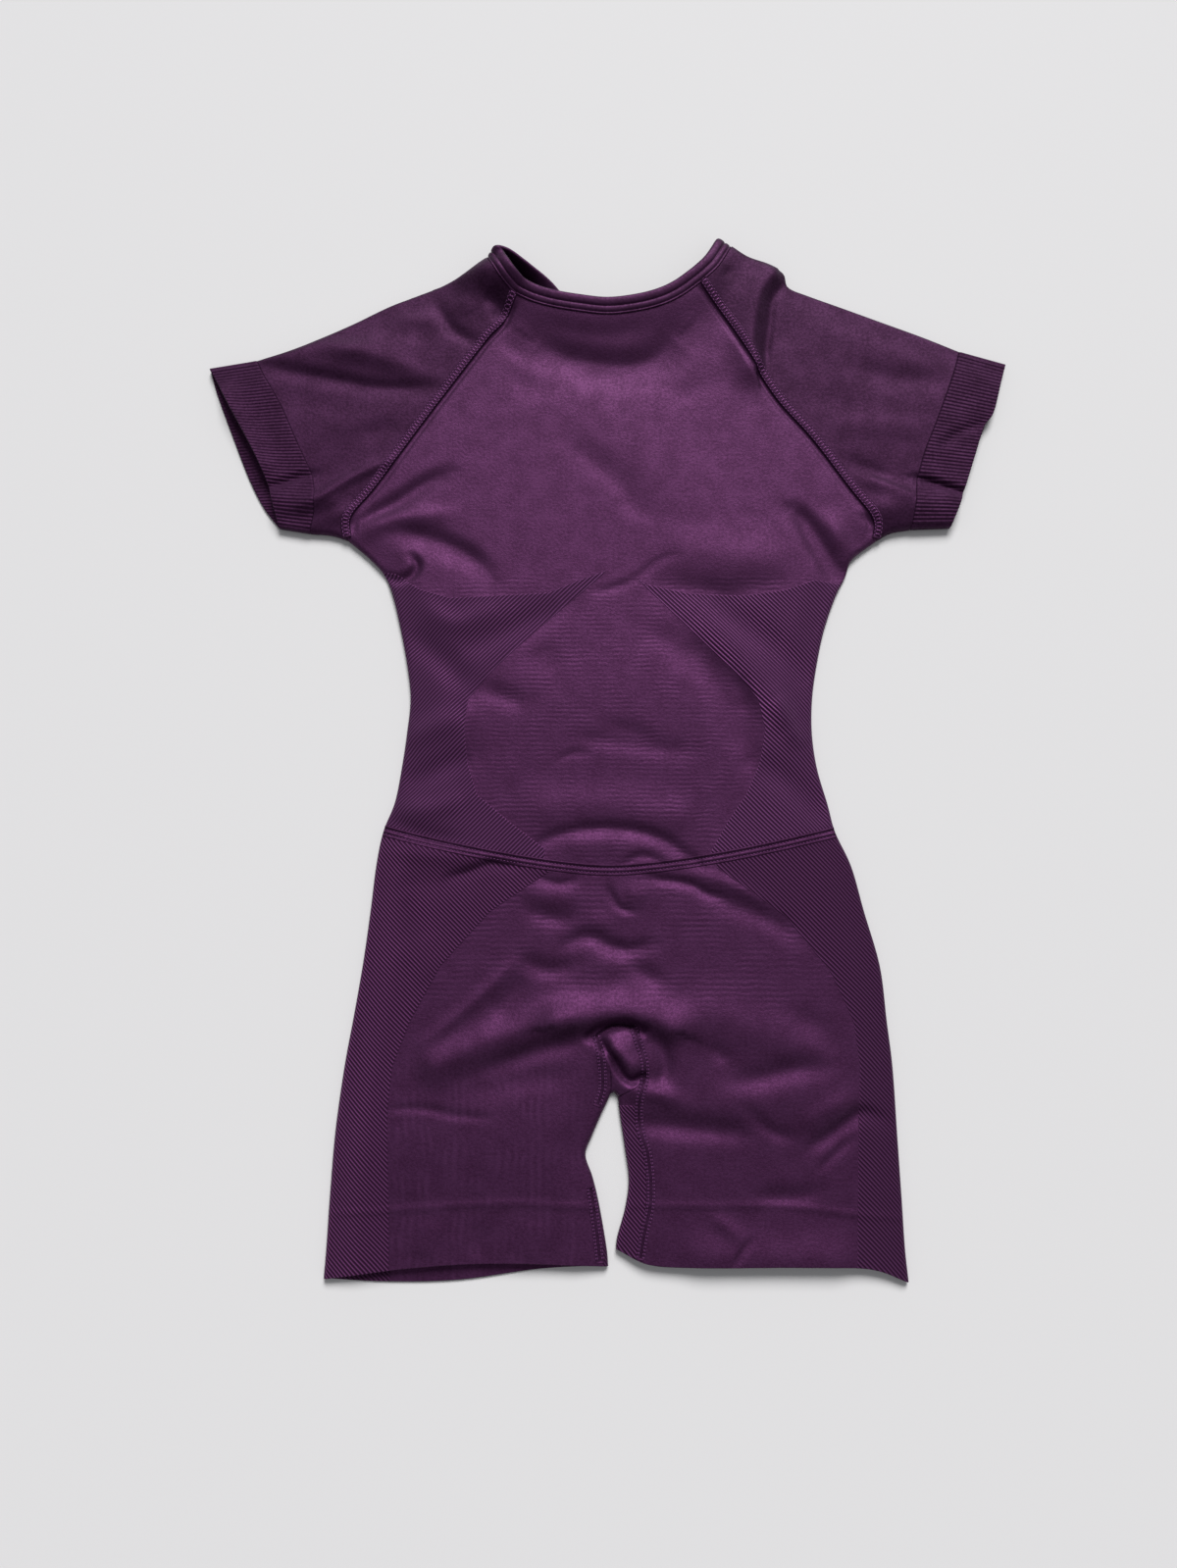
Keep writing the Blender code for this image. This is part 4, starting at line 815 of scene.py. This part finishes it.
def sleeve(name, half, material):
    """A tube from the cuff to the slanting end that meets the neck binding and the bodice."""
    rows = cells(curve(half.shoulder), CELL)
    neck_columns = cells(curve(half.neck_top), CELL)
    raglan_columns = cells(curve(half.raglan_back), CELL)
    top = spread(curve(half.shoulder)[:, :2], rows, RAMP, RAMP)
    bottom = spread(curve(half.underarm)[:, :2], rows)
    cloth = Cloth()
    shared = None
    for neck, raglan, size, height, upward in (
        (half.neck_top, half.raglan_back, CELL, upper, True),
        (half.neck_under, half.raglan_front, UNDER_CELL, lower, False),
    ):
        share = CELL / size
        first = max(int(neck_columns * share), 3)
        second = int(raglan_columns * share) + 2 * len(RAMP)
        end = np.vstack([spread(curve(neck), first), spread(curve(raglan), second, RAMP)[-2::-1]])
        near = spread(curve(half.cuff_seam), first + second, RAMP, RAMP)
        divide = spread(np.array([near[first], end[first]]), rows, RAMP, RAMP)
        upper_part = patch(near[:first + 1], end[:first + 1], top, divide)
        lower_part = patch(near[first:], end[first:], divide, bottom)
        grid = np.hstack([upper_part, lower_part[:, 1:]])
        shared = cloth.layer(grid, height, upward, shared_sides(grid, shared))
    return cloth.build(name, material)


def cuff(name, half, material):
    """A ribbed band. Ribs run across it, on the outside above and on the inside of the layer below."""
    cloth = Cloth()
    seam = curve(half.cuff_seam)
    rows = cells(np.array([seam[0], curve(half.cuff_top)[0]]), RIB_ROW) + len(RAMP)
    count = int(lengths(seam)[-1] / RIB_PITCH) * RIB_COLUMNS
    shared = None
    numbers = []
    for edge, height, upward in ((half.cuff_top, upper, True), (half.cuff_under, lower, False)):
        near, far = spread(seam, count), spread(curve(edge), count)
        ends = [spread(np.array([near[k], far[k]]), rows, (), RAMP) for k in (0, -1)]
        grid = patch(near, far, *ends)
        shared = cloth.layer(grid, height, upward, shared_sides(grid, shared))
        numbers.append(shared)
    wave = RIB_HEIGHT * (0.5 - 0.5 * np.cos(2 * np.pi * np.arange(count + 1) / RIB_COLUMNS))
    over, under = np.zeros(cloth.count), np.zeros(cloth.count)
    over[numbers[0]] = wave
    under[numbers[1][:, 1:-1]] = wave[1:-1]
    return cloth.build(name, material, over, under)


def shorts(material):
    """One tube down to the crotch, cut out for the gusset, and a leg on each side of it."""
    cloth = Cloth(SHORTS_ZONES)
    hips = [between(line, ARCH_SIDE_Y, WAIST_LEFT[1])[::-1] for line in (body_left, body_right)]
    legs = [between(line, BODY_SECTIONS[0][0], ARCH_SIDE_Y)[::-1] for line in (body_left, body_right)]
    hip_rows = cells(hips[0], CELL)
    gusset_rows = cells(curve(RIGHT_INSEAM), CELL)
    leg_rows = cells(curve(LEFT_INNER_LEG), CELL)
    opening = spread(curve([ARCH_LEFT, ARCH_TOP, ARCH_RIGHT]), GUSSET_COLUMNS)
    inner = [
        np.vstack([spread(curve(seam), gusset_rows), spread(curve(fold), leg_rows, (), RAMP)[1:]])
        for seam, fold in ((LEFT_INSEAM, LEFT_INNER_LEG), (RIGHT_INSEAM, RIGHT_INNER_LEG))
    ]
    outer = [spread(line, gusset_rows + leg_rows, (), RAMP) for line in legs]
    above = (None, None, None)
    for size, hems, height, upward in (
        (CELL, (LEFT_HEM_TOP, RIGHT_HEM_TOP), upper, True),
        (UNDER_CELL, (LEFT_HEM_UNDER, RIGHT_HEM_UNDER), lower, False),
    ):
        left_line = curve([hips[0][-1], ARCH_LEFT_HIP, ARCH_LEFT])
        right_line = curve([ARCH_RIGHT, ARCH_RIGHT_HIP, hips[1][-1]])
        columns = cells(left_line, size) + 2 * len(RAMP)
        arches = [spread(line, columns, RAMP, RAMP) for line in (left_line, right_line)]
        arch = np.vstack([arches[0], opening[1:-1], arches[1]])
        waist = spread(waist_seam(), len(arch) - 1, RAMP, RAMP)
        hip = patch(waist, arch, *[spread(line, hip_rows, RAMP) for line in hips])
        hem = [spread(curve(line), columns, RAMP, RAMP) for line in hems]
        left_leg = patch(arches[0], hem[0], outer[0], inner[0])
        right_leg = patch(arches[1], hem[1], inner[1], outer[1])
        numbers = [shared_sides(grid, up) for grid, up in zip((hip, left_leg, right_leg), above)]
        numbers[1][:gusset_rows, -1] = -1
        numbers[2][:gusset_rows, 0] = -1
        cloth.layer(hip, height, upward, numbers[0])
        numbers[1][0], numbers[2][0] = numbers[0][-1, :columns + 1], numbers[0][-1, -columns - 1:]
        cloth.layer(left_leg, height, upward, numbers[1])
        cloth.layer(right_leg, height, upward, numbers[2])
        above = numbers
    return cloth.build("shorts_cloth", material)


def gusset(material):
    """A small diamond folded over the crotch, back half above and front half below."""
    rows = cells(curve(RIGHT_INSEAM), CELL)
    arch = spread(curve([ARCH_LEFT, ARCH_TOP, ARCH_RIGHT]), GUSSET_COLUMNS)
    sides = [spread(curve(line), rows)[::-1] for line in (LEFT_INSEAM, RIGHT_INSEAM)]
    grid = patch(spread(curve(CROTCH_FOLD), GUSSET_COLUMNS), arch, *sides)
    cloth = Cloth()
    numbers = cloth.layer(grid, upper, True)
    shared = np.full(numbers.shape, -1)
    shared[0] = numbers[0]
    cloth.layer(grid, lower, False, shared)
    return cloth.build("gusset_cloth", material)


def smoothed(values, count):
    """A closed row of values, each averaged with its neighbours."""
    for _ in range(count):
        values = (np.roll(values, 1, axis=0) + 2 * values + np.roll(values, -1, axis=0)) / 4
    return values


def neck_stations():
    """Points of the neck seam all round, the ways to the free edge and out, and how thick it rolls."""
    points, outs, sides = [], [], []
    for line, upward in (
        (curve(NECK_BACK), True),
        (curve(RIGHT.neck_top)[::-1], True),
        (curve(RIGHT.neck_under), False),
        (curve(NECK_FRONT)[::-1], False),
        (curve(LEFT.neck_under)[::-1], False),
        (curve(LEFT.neck_top), True),
    ):
        plan = spread(line, cells(line, NECK_STEP))[:-1]
        height = upper if upward else lower
        points.append(np.column_stack([plan, height(plan)]))
        outs.append(normals(height, plan) * (1 if upward else -1))
        sides.append(len(plan))
    points = smoothed(np.vstack(points), LINE_SMOOTHING)
    outs = smoothed(np.vstack(outs), OUT_SMOOTHING)
    run = np.roll(points, -1, axis=0) - np.roll(points, 1, axis=0)
    across = smoothed(unit(np.cross(outs, run)), ACROSS_SMOOTHING)
    along = lengths(points)
    past = along - along[sum(sides[:-1])]
    past = np.where(past < -along[-1] / 2, past + along[-1], past)
    turn = CURL * np.exp(-(past / np.where(past < 0, CURL_FRONT, CURL_BACK)) ** 4)[:, None]
    across = across * np.cos(turn) + np.array([0.0, 0.0, 1.0]) * np.sin(turn)
    near = np.exp(-((past / CURL_BACK) ** 2))
    across = unit(across + np.array(CURL_LEAN) * near[:, None])
    return points, across, unit(np.cross(run, across)), 1 + ROLL * near


def neck_band(material):
    """A folded band round the neck, with a groove under each of its two rows of stitches."""
    points, across, up, roll = neck_stations()
    proud = np.clip(up[:, 2], 0, 1)[:, None] * BAND_PROUD
    section = np.array(BAND_SECTION)
    thick = np.where(section[:, 1] < 0, roll[:, None], 1) * section[:, 1]
    height = thick[..., None] + proud[:, None]
    rings = points[:, None] + across[:, None] * section[None, :, :1] + up[:, None] * height
    rings[..., 2] = np.maximum(rings[..., 2], 0)
    index = numbered(rings)
    faces = around(index, np.roll(index, -1, axis=0))
    return swept("neck_band", rings, [faces], lengths(points), section, material)


# Stitches


def tubes(name, paths, radius, material):
    """Short threads, each a closed tube along a row of points."""
    tangent = unit(np.gradient(paths, axis=1))
    side = unit(np.cross(tangent, np.array([0.0, 0.0, 1.0])))
    up = np.cross(side, tangent)
    thin = np.ones(paths.shape[1])
    thin[[0, -1]] = THREAD_END
    turn = np.linspace(0, 2 * np.pi, THREAD_SIDES, endpoint=False)
    ring = side[:, :, None] * np.cos(turn)[:, None] + up[:, :, None] * np.sin(turn)[:, None]
    points = paths[:, :, None] + ring * radius * thin[None, :, None, None]
    index = numbered(points)
    a, b = index[:, :-1], index[:, 1:]
    walls = np.stack([a, np.roll(a, -1, axis=2), np.roll(b, -1, axis=2), b], -1).reshape(-1, 4)
    made = mesh_object(name, points.reshape(-1, 3), [walls, index[:, 0, ::-1], index[:, -1]], material)
    ride(made)
    return made


def strip(name, points, section, material, start=0.0, end=0.0):
    """A sewn seam: a low closed strip of this section along a line on the upper layer."""
    line = curve(points)
    total = lengths(line)[-1]
    distances = np.linspace(start, total - end, cells(line, STRIP_STEP) + 1)
    centre, _, across = seam_frame(line, distances)
    shape = np.array(section)
    plan = centre[:, None] + across[:, None] * shape[None, :, :1]
    height = upper(plan.reshape(-1, 2)).reshape(plan.shape[:2]) + shape[:, 1]
    rings = np.dstack([plan, np.maximum(height, 0)])
    index = numbered(rings)
    groups = [around(index[:-1], index[1:]), index[:1, ::-1], index[-1:]]
    return swept(name, rings, groups, distances, shape, material)


def stitch_frame(points, pitch, start, end):
    """The places of the stitches along a line, and the directions along it and across it."""
    line = curve(points)
    distances = np.arange(start + AFTER_START, lengths(line)[-1] - end - BEFORE_END, pitch)
    return seam_frame(line, distances)


def coverstitch(name, points, section, cloth, material, start=0.0, end=0.0):
    """A flat seam with a ladder of thread over it: two rows of short stitches and crossed rungs between."""
    seam = strip(f"{name}_seam", points, section, cloth, start, end)
    half, proud = section[2]
    half *= LADDER_WIDTH
    centre, ahead, across = stitch_frame(points, STITCH, start, end)
    paths = []
    for side in (-1, 1):
        plan = [centre + across * side * half + ahead * s * STITCH for s in ROW]
        paths.append(lift(plan, proud - ROW_SUNK + np.array(BOW)))
    for turn in (-1, 1):
        plan = [centre + across * s * half + ahead * (turn * RUNG_SLANT * s + 0.5) * STITCH for s in RUNG]
        paths.append(lift(plan, proud - RUNG_SUNK + np.array(BOW)))
    return [seam, tubes(f"{name}_stitches", np.vstack(paths), THREAD, material)]


def needle_rows(name, points, offsets, proud, material, start=0.0, end=0.0):
    """Rows of short straight stitches beside a line."""
    centre, ahead, across = stitch_frame(points, STITCH * NEEDLE_PITCH, start, end)
    paths = []
    for offset in offsets:
        plan = [centre + across * offset + ahead * s * STITCH for s in NEEDLE]
        paths.append(lift(plan, proud + np.array(NEEDLE_BOW)))
    return tubes(name, np.vstack(paths), THREAD * NEEDLE_THREAD, material)


def lift(plan, heights):
    """Plan points of many stitches raised onto the upper layer."""
    pairs = zip(plan, heights)
    return np.stack([np.column_stack([points, upper(points) + height]) for points, height in pairs], axis=1)


# Knit: a dark body colour of dyed nylon under a wide gloss of its own hue
AUBERGINE = (0.0155, 0.0056, 0.0160)
GLOSS_TINT = (1.0, 0.285, 0.92, 1.0)
GLOSS = 0.72
# Pitch of the diagonal lines and of the slubs, and the lines' slope
TWILL_PITCH = 1.8
SLUB_PITCH = 4.6
DIAGONAL = 0.70711
# Grain: scales of its noise and of the mottling's, its darkest and lightest shade, and the jersey's bumps
GRAIN_SCALE = 0.62
MOTTLE_SCALE = 0.09
GRAIN_SHADES = (0.3, 1.9)
BUMP = 0.32
# Thread: its shade, and the scale of its twist to the metre
THREAD_SHADE = 7.0
TWIST_SCALE = 2500.0
# Where courses fade in and out past their first and last Y, and the Y and X where the slubs do
COURSES_IN = (-25, 10)
COURSES_OUT = (-6, 0)
SLUBS_BELOW = (-200, -165)
SLUBS_LEFT = (-20, 0)
# Kinds of knit. Jersey: depth of the diagonal lines, lightness of their ridges, which is partly the yarn's
# lighter tone and partly painted highlight, and their roughness, and first Y, last Y, pitch and depth of
# the courses. The others: shade, roughness, gloss and height of the grain
BODICE_LINES, BODICE_COURSES = (1.4, 5.5, 0.44), (-400.0, 94.0, 2.7, 0.85)
SHORTS_LINES, SHORTS_COURSES = (1.6, 3.0, 0.56), (-150.0, 0.0, 3.2, 0.8)
SLEEVE = (0.85, 0.6, 0.4, 0.22)
SMOOTH = (1.1, 0.55, 0.75, 0.2)
RIB = (0.85, 0.65, 0.42, 0.12)
BAND = (0.9, 0.56, 0.45, 0.12)


class Nodes:
    """A material's nodes, made and joined in short calls. Each call gives back an output socket."""

    def __init__(self, name):
        self.material = bpy.data.materials.new(name)
        self.material.use_nodes = True
        self.tree = self.material.node_tree
        self.shader = self.tree.nodes["Principled BSDF"]

    def put(self, socket, value):
        """Joins another socket to this one, or sets a constant on it."""
        if isinstance(value, bpy.types.NodeSocket):
            self.tree.links.new(value, socket)
        else:
            socket.default_value = value

    def node(self, kind, inputs, **settings):
        """The outputs of a new node with these settings, its inputs filled by name or number."""
        made = self.tree.nodes.new(kind)
        for key, value in settings.items():
            setattr(made, key, value)
        for key, value in inputs.items():
            self.put(made.inputs[key], value)
        return made.outputs

    def math(self, operation, a, b=0.0):
        return self.node("ShaderNodeMath", {0: a, 1: b}, operation=operation)[0]

    def times(self, a, b):
        return self.math("MULTIPLY", a, b)

    def plus(self, a, b):
        return self.math("ADD", a, b)

    def attribute(self, name, output="Fac"):
        return self.node("ShaderNodeAttribute", {}, attribute_name=name)[output]

    def noise(self, vector, scale, detail=2.0, roughness=0.5):
        inputs = {"Vector": vector, "Scale": scale, "Detail": detail, "Roughness": roughness}
        return self.node("ShaderNodeTexNoise", inputs)["Fac"]

    def step(self, value, levels, to_low=0.0, to_high=1.0):
        """A smooth step from one number to another between two levels of a value."""
        low, high = levels
        inputs = {"Value": value, "From Min": low, "From Max": high, "To Min": to_low, "To Max": to_high}
        return self.node("ShaderNodeMapRange", inputs, interpolation_type="SMOOTHSTEP")["Result"]

    def mix(self, share, a, b, kind="RGBA"):
        """a where the share is zero and b where it is one: colours, or numbers where the kind is FLOAT."""
        return self.node("ShaderNodeMix", {"Factor": share, "A": a, "B": b}, data_type=kind)["Result"]

    def wave(self, coordinate, pitch):
        """A wave from 0 to 1 along a coordinate in millimetres."""
        turned = self.math("COSINE", self.times(coordinate, 2 * math.pi / pitch))
        return self.plus(self.times(turned, 0.5), 0.5)

    def drift(self, vector, scale, distance):
        """An uneven shift of up to this distance."""
        return self.times(self.noise(vector, scale), distance)

    def plan(self):
        """The coordinates of the cloth before it was folded, in millimetres."""
        vector = self.attribute("cut", "Vector")
        parts = self.node("ShaderNodeSeparateXYZ", {0: vector})
        return vector, parts[0], parts[1]

    def finish(self, colour, height, distance, roughness, gloss):
        """The material. Its bumps are the height times this distance in millimetres."""
        bump = self.node("ShaderNodeBump", {"Strength": 1.0, "Distance": distance * MM, "Height": height})
        inputs = {"Normal": bump["Normal"], "Base Color": colour, "Roughness": roughness}
        inputs.update({"Specular IOR Level": gloss, "Specular Tint": GLOSS_TINT})
        for key, value in inputs.items():
            self.put(self.shader.inputs[key], value)
        return self.material


def shade(amount):
    """The body colour, darker or lighter."""
    return (*[channel * amount for channel in AUBERGINE], 1.0)


def grained(n, vector, amount):
    """Fine uneven grain: its height, the cloth's colour, and how light it is."""
    grain = n.noise(vector, GRAIN_SCALE, 4.0, 0.75)
    mottle = n.noise(vector, MOTTLE_SCALE, 3.0)
    light = n.step(n.plus(n.times(grain, 0.7), n.times(mottle, 0.3)), (0.35, 0.65))
    dark, pale = (shade(amount * edge) for edge in GRAIN_SHADES)
    return grain, n.mix(light, dark, pale), light


def knit(name, mirrored, ridges, courses, slubs):
    """Jersey with a fine grain, zones of diagonal lines, courses, and slubs on a leg.

    ridges and courses are rows of the kinds above. mirrored turns the diagonals over left of the middle."""
    ridge_depth, ridge_tone_and_highlight, ridge_roughness = ridges
    first, last, pitch, depth = courses
    n = Nodes(name)
    vector, x, y = n.plan()
    grain, cloth, light = grained(n, vector, 1.0)
    zone = n.step(n.attribute("twill"), (-0.35, 0.35))
    wander = n.times(n.noise(vector, 0.02, 1.0), 2.0)
    across = n.math("ABSOLUTE", x) if mirrored else x
    lines = n.wave(n.plus(n.times(n.plus(across, y), DIAGONAL), wander), TWILL_PITCH)

    rows = n.wave(n.plus(y, n.drift(vector, 0.08, 3.0)), pitch)
    above = n.step(y, [first + edge for edge in COURSES_IN])
    below = n.step(y, [last + edge for edge in COURSES_OUT], 1, 0)
    shown = n.times(n.times(above, below), n.step(n.noise(vector, 0.06), (0.35, 0.7)))
    rows = n.times(n.times(rows, shown), depth)

    columns = n.wave(n.plus(x, n.drift(vector, 0.05, 6.0)), SLUB_PITCH)
    shown = n.times(n.step(y, SLUBS_BELOW, slubs, 0), n.step(x, SLUBS_LEFT, 1, 0))
    columns = n.times(n.times(columns, shown), n.step(n.noise(vector, 0.07), (0.4, 0.7)))

    bands = n.plus(rows, columns)
    cloth = n.mix(n.times(bands, 0.5), cloth, shade(2.6))
    # In the zones of diagonal lines the grooves get a near-black colour that is painted shade between the
    # ridges; the ridges get a light colour that is partly the yarn's lighter tone and partly painted
    # highlight.
    colour = n.mix(zone, cloth, n.mix(lines, shade(0.1), shade(ridge_tone_and_highlight)))
    plain = n.plus(n.times(bands, 0.35), n.times(grain, 0.8))
    ridged = n.plus(n.times(lines, ridge_depth), n.times(grain, 0.5))
    height = n.mix(zone, plain, ridged, "FLOAT")
    matt = n.step(light, (0, 1), 0.62, 0.5)
    ridge_matt = n.step(lines, (0.2, 0.7), 0.85, ridge_roughness)
    return n.finish(colour, height, BUMP, n.mix(zone, matt, ridge_matt, "FLOAT"), GLOSS)


def simple(name, amount, roughness, gloss, grain_depth):
    """Plain fine knit for the sleeves, cuffs, band and gusset."""
    n = Nodes(name)
    grain, colour, light = grained(n, n.attribute("cut", "Vector"), amount)
    matt = n.step(light, (0, 1), roughness + 0.06, roughness - 0.06)
    return n.finish(colour, grain, grain_depth, matt, gloss)


def thread_material():
    """Twisted thread, a little lighter than the cloth."""
    n = Nodes("thread")
    vector = n.node("ShaderNodeTexCoord", {})["Object"]
    return n.finish(shade(THREAD_SHADE), n.noise(vector, TWIST_SCALE), 0.03, 0.45, 0.9)


# Room: the floor's half size and how far it lies below the cloth, in metres, its colour and roughness. Then
# the window's light, with its angle and the way to it, and the light all round
FLOOR_HALF, FLOOR_BELOW = 8.0, 0.0004
FLOOR_COLOUR, FLOOR_ROUGHNESS = (0.76, 0.75, 0.755, 1.0), 0.75
SUN_ENERGY, SUN_ANGLE, SUN_TOWARD = 3.5, math.radians(28), (0.16, 1.0, 0.9)
WORLD_COLOUR, WORLD_STRENGTH = (0.95, 0.97, 1.0, 1.0), 0.26
# The photograph's camera, from the floor's plank lines: lens and sensor in millimetres, place in metres,
# and the ways ahead and up
LENS, SENSOR = 27.15, 36.0
CAMERA_AT = (-0.0050, -0.1123, 0.665)
CAMERA_AHEAD, CAMERA_UP = (-0.0070, 0.1247, -0.9922), (-0.0032, 0.9922, 0.1247)


def floor():
    mesh = bpy.data.meshes.new("floor")
    corners = [(x * FLOOR_HALF, y * FLOOR_HALF, 0) for x, y in ((-1, -1), (1, -1), (1, 1), (-1, 1))]
    mesh.from_pydata(corners, [], [(0, 1, 2, 3)])
    n = Nodes("pale_floor")
    n.put(n.shader.inputs["Base Color"], FLOOR_COLOUR)
    n.put(n.shader.inputs["Roughness"], FLOOR_ROUGHNESS)
    mesh.materials.append(n.material)
    made = placed("floor", mesh)
    made.location.z = -FLOOR_BELOW


def lights():
    sun = bpy.data.lights.new("window", "SUN")
    sun.energy = SUN_ENERGY
    sun.angle = SUN_ANGLE
    placed("window", sun).rotation_euler = Vector(SUN_TOWARD).to_track_quat("Z", "Y").to_euler()
    world = bpy.data.worlds.new("room")
    world.use_nodes = True
    background = world.node_tree.nodes["Background"]
    background.inputs["Color"].default_value = WORLD_COLOUR
    background.inputs["Strength"].default_value = WORLD_STRENGTH
    bpy.context.scene.world = world
    bpy.context.scene.view_settings.view_transform = "Standard"


def camera():
    view = bpy.data.cameras.new("camera")
    view.sensor_width = SENSOR
    view.lens = LENS
    ahead = Vector(CAMERA_AHEAD).normalized()
    right = ahead.cross(Vector(CAMERA_UP)).normalized()
    turn = Matrix((right, right.cross(ahead), -ahead)).transposed()
    made = placed("camera", view)
    made.matrix_world = Matrix.Translation(CAMERA_AT) @ turn.to_4x4()
    bpy.context.scene.camera = made


def laid(piece, node):
    """Hides the solid that a piece of cloth takes the place of."""
    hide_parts(node)


bodice_knit = knit("bodice_knit", True, BODICE_LINES, BODICE_COURSES, 0.0)
shorts_knit = knit("shorts_knit", False, SHORTS_LINES, SHORTS_COURSES, 1.0)
sleeve_knit = simple("sleeve_knit", *SLEEVE)
smooth_knit = simple("smooth_knit", *SMOOTH)
rib_knit = simple("rib_knit", *RIB)
band_knit = simple("band_knit", *BAND)
thread = thread_material()

waist = waist_seam()[::4]
waist_pieces = [
    strip("waist_seam", waist, WAIST_SEAM, band_knit, start=0.4, end=0.4),
    needle_rows("waist_stitches", waist, WAIST_NEEDLES, WAIST_RISE, thread, start=1.5, end=1.5),
]
leg_pieces = [
    piece
    for name, line in (
        ("right_leg", RIGHT_LEG_SEAM),
        ("left_leg", LEFT_LEG_SEAM),
        ("left_hem", LEFT_HEM_SEAM),
    )
    for piece in (
        strip(f"{name}_seam", line, NARROW_SEAM, sleeve_knit),
        needle_rows(f"{name}_stitches", line, LEG_NEEDLES, LEG_RISE, thread),
    )
]
laid(bodice(bodice_knit), "bodice")
laid(shorts(shorts_knit), "shorts")
laid(gusset(smooth_knit), "crotch_gusset")
laid(neck_band(band_knit), "neck_binding")
for side, half in (("left", LEFT), ("right", RIGHT)):
    seam = half.raglan_back
    seams = coverstitch(f"raglan_{side}", seam, FLAT_SEAM, sleeve_knit, thread, start=1.5, end=-1.0)
    cloth = sleeve(f"sleeve_{side}_cloth", half, sleeve_knit)
    laid(cloth, f"sleeve_{side}")
    laid(cuff(f"cuff_{side}_rib", half, rib_knit), f"cuff_{side}")

floor()
lights()
camera()
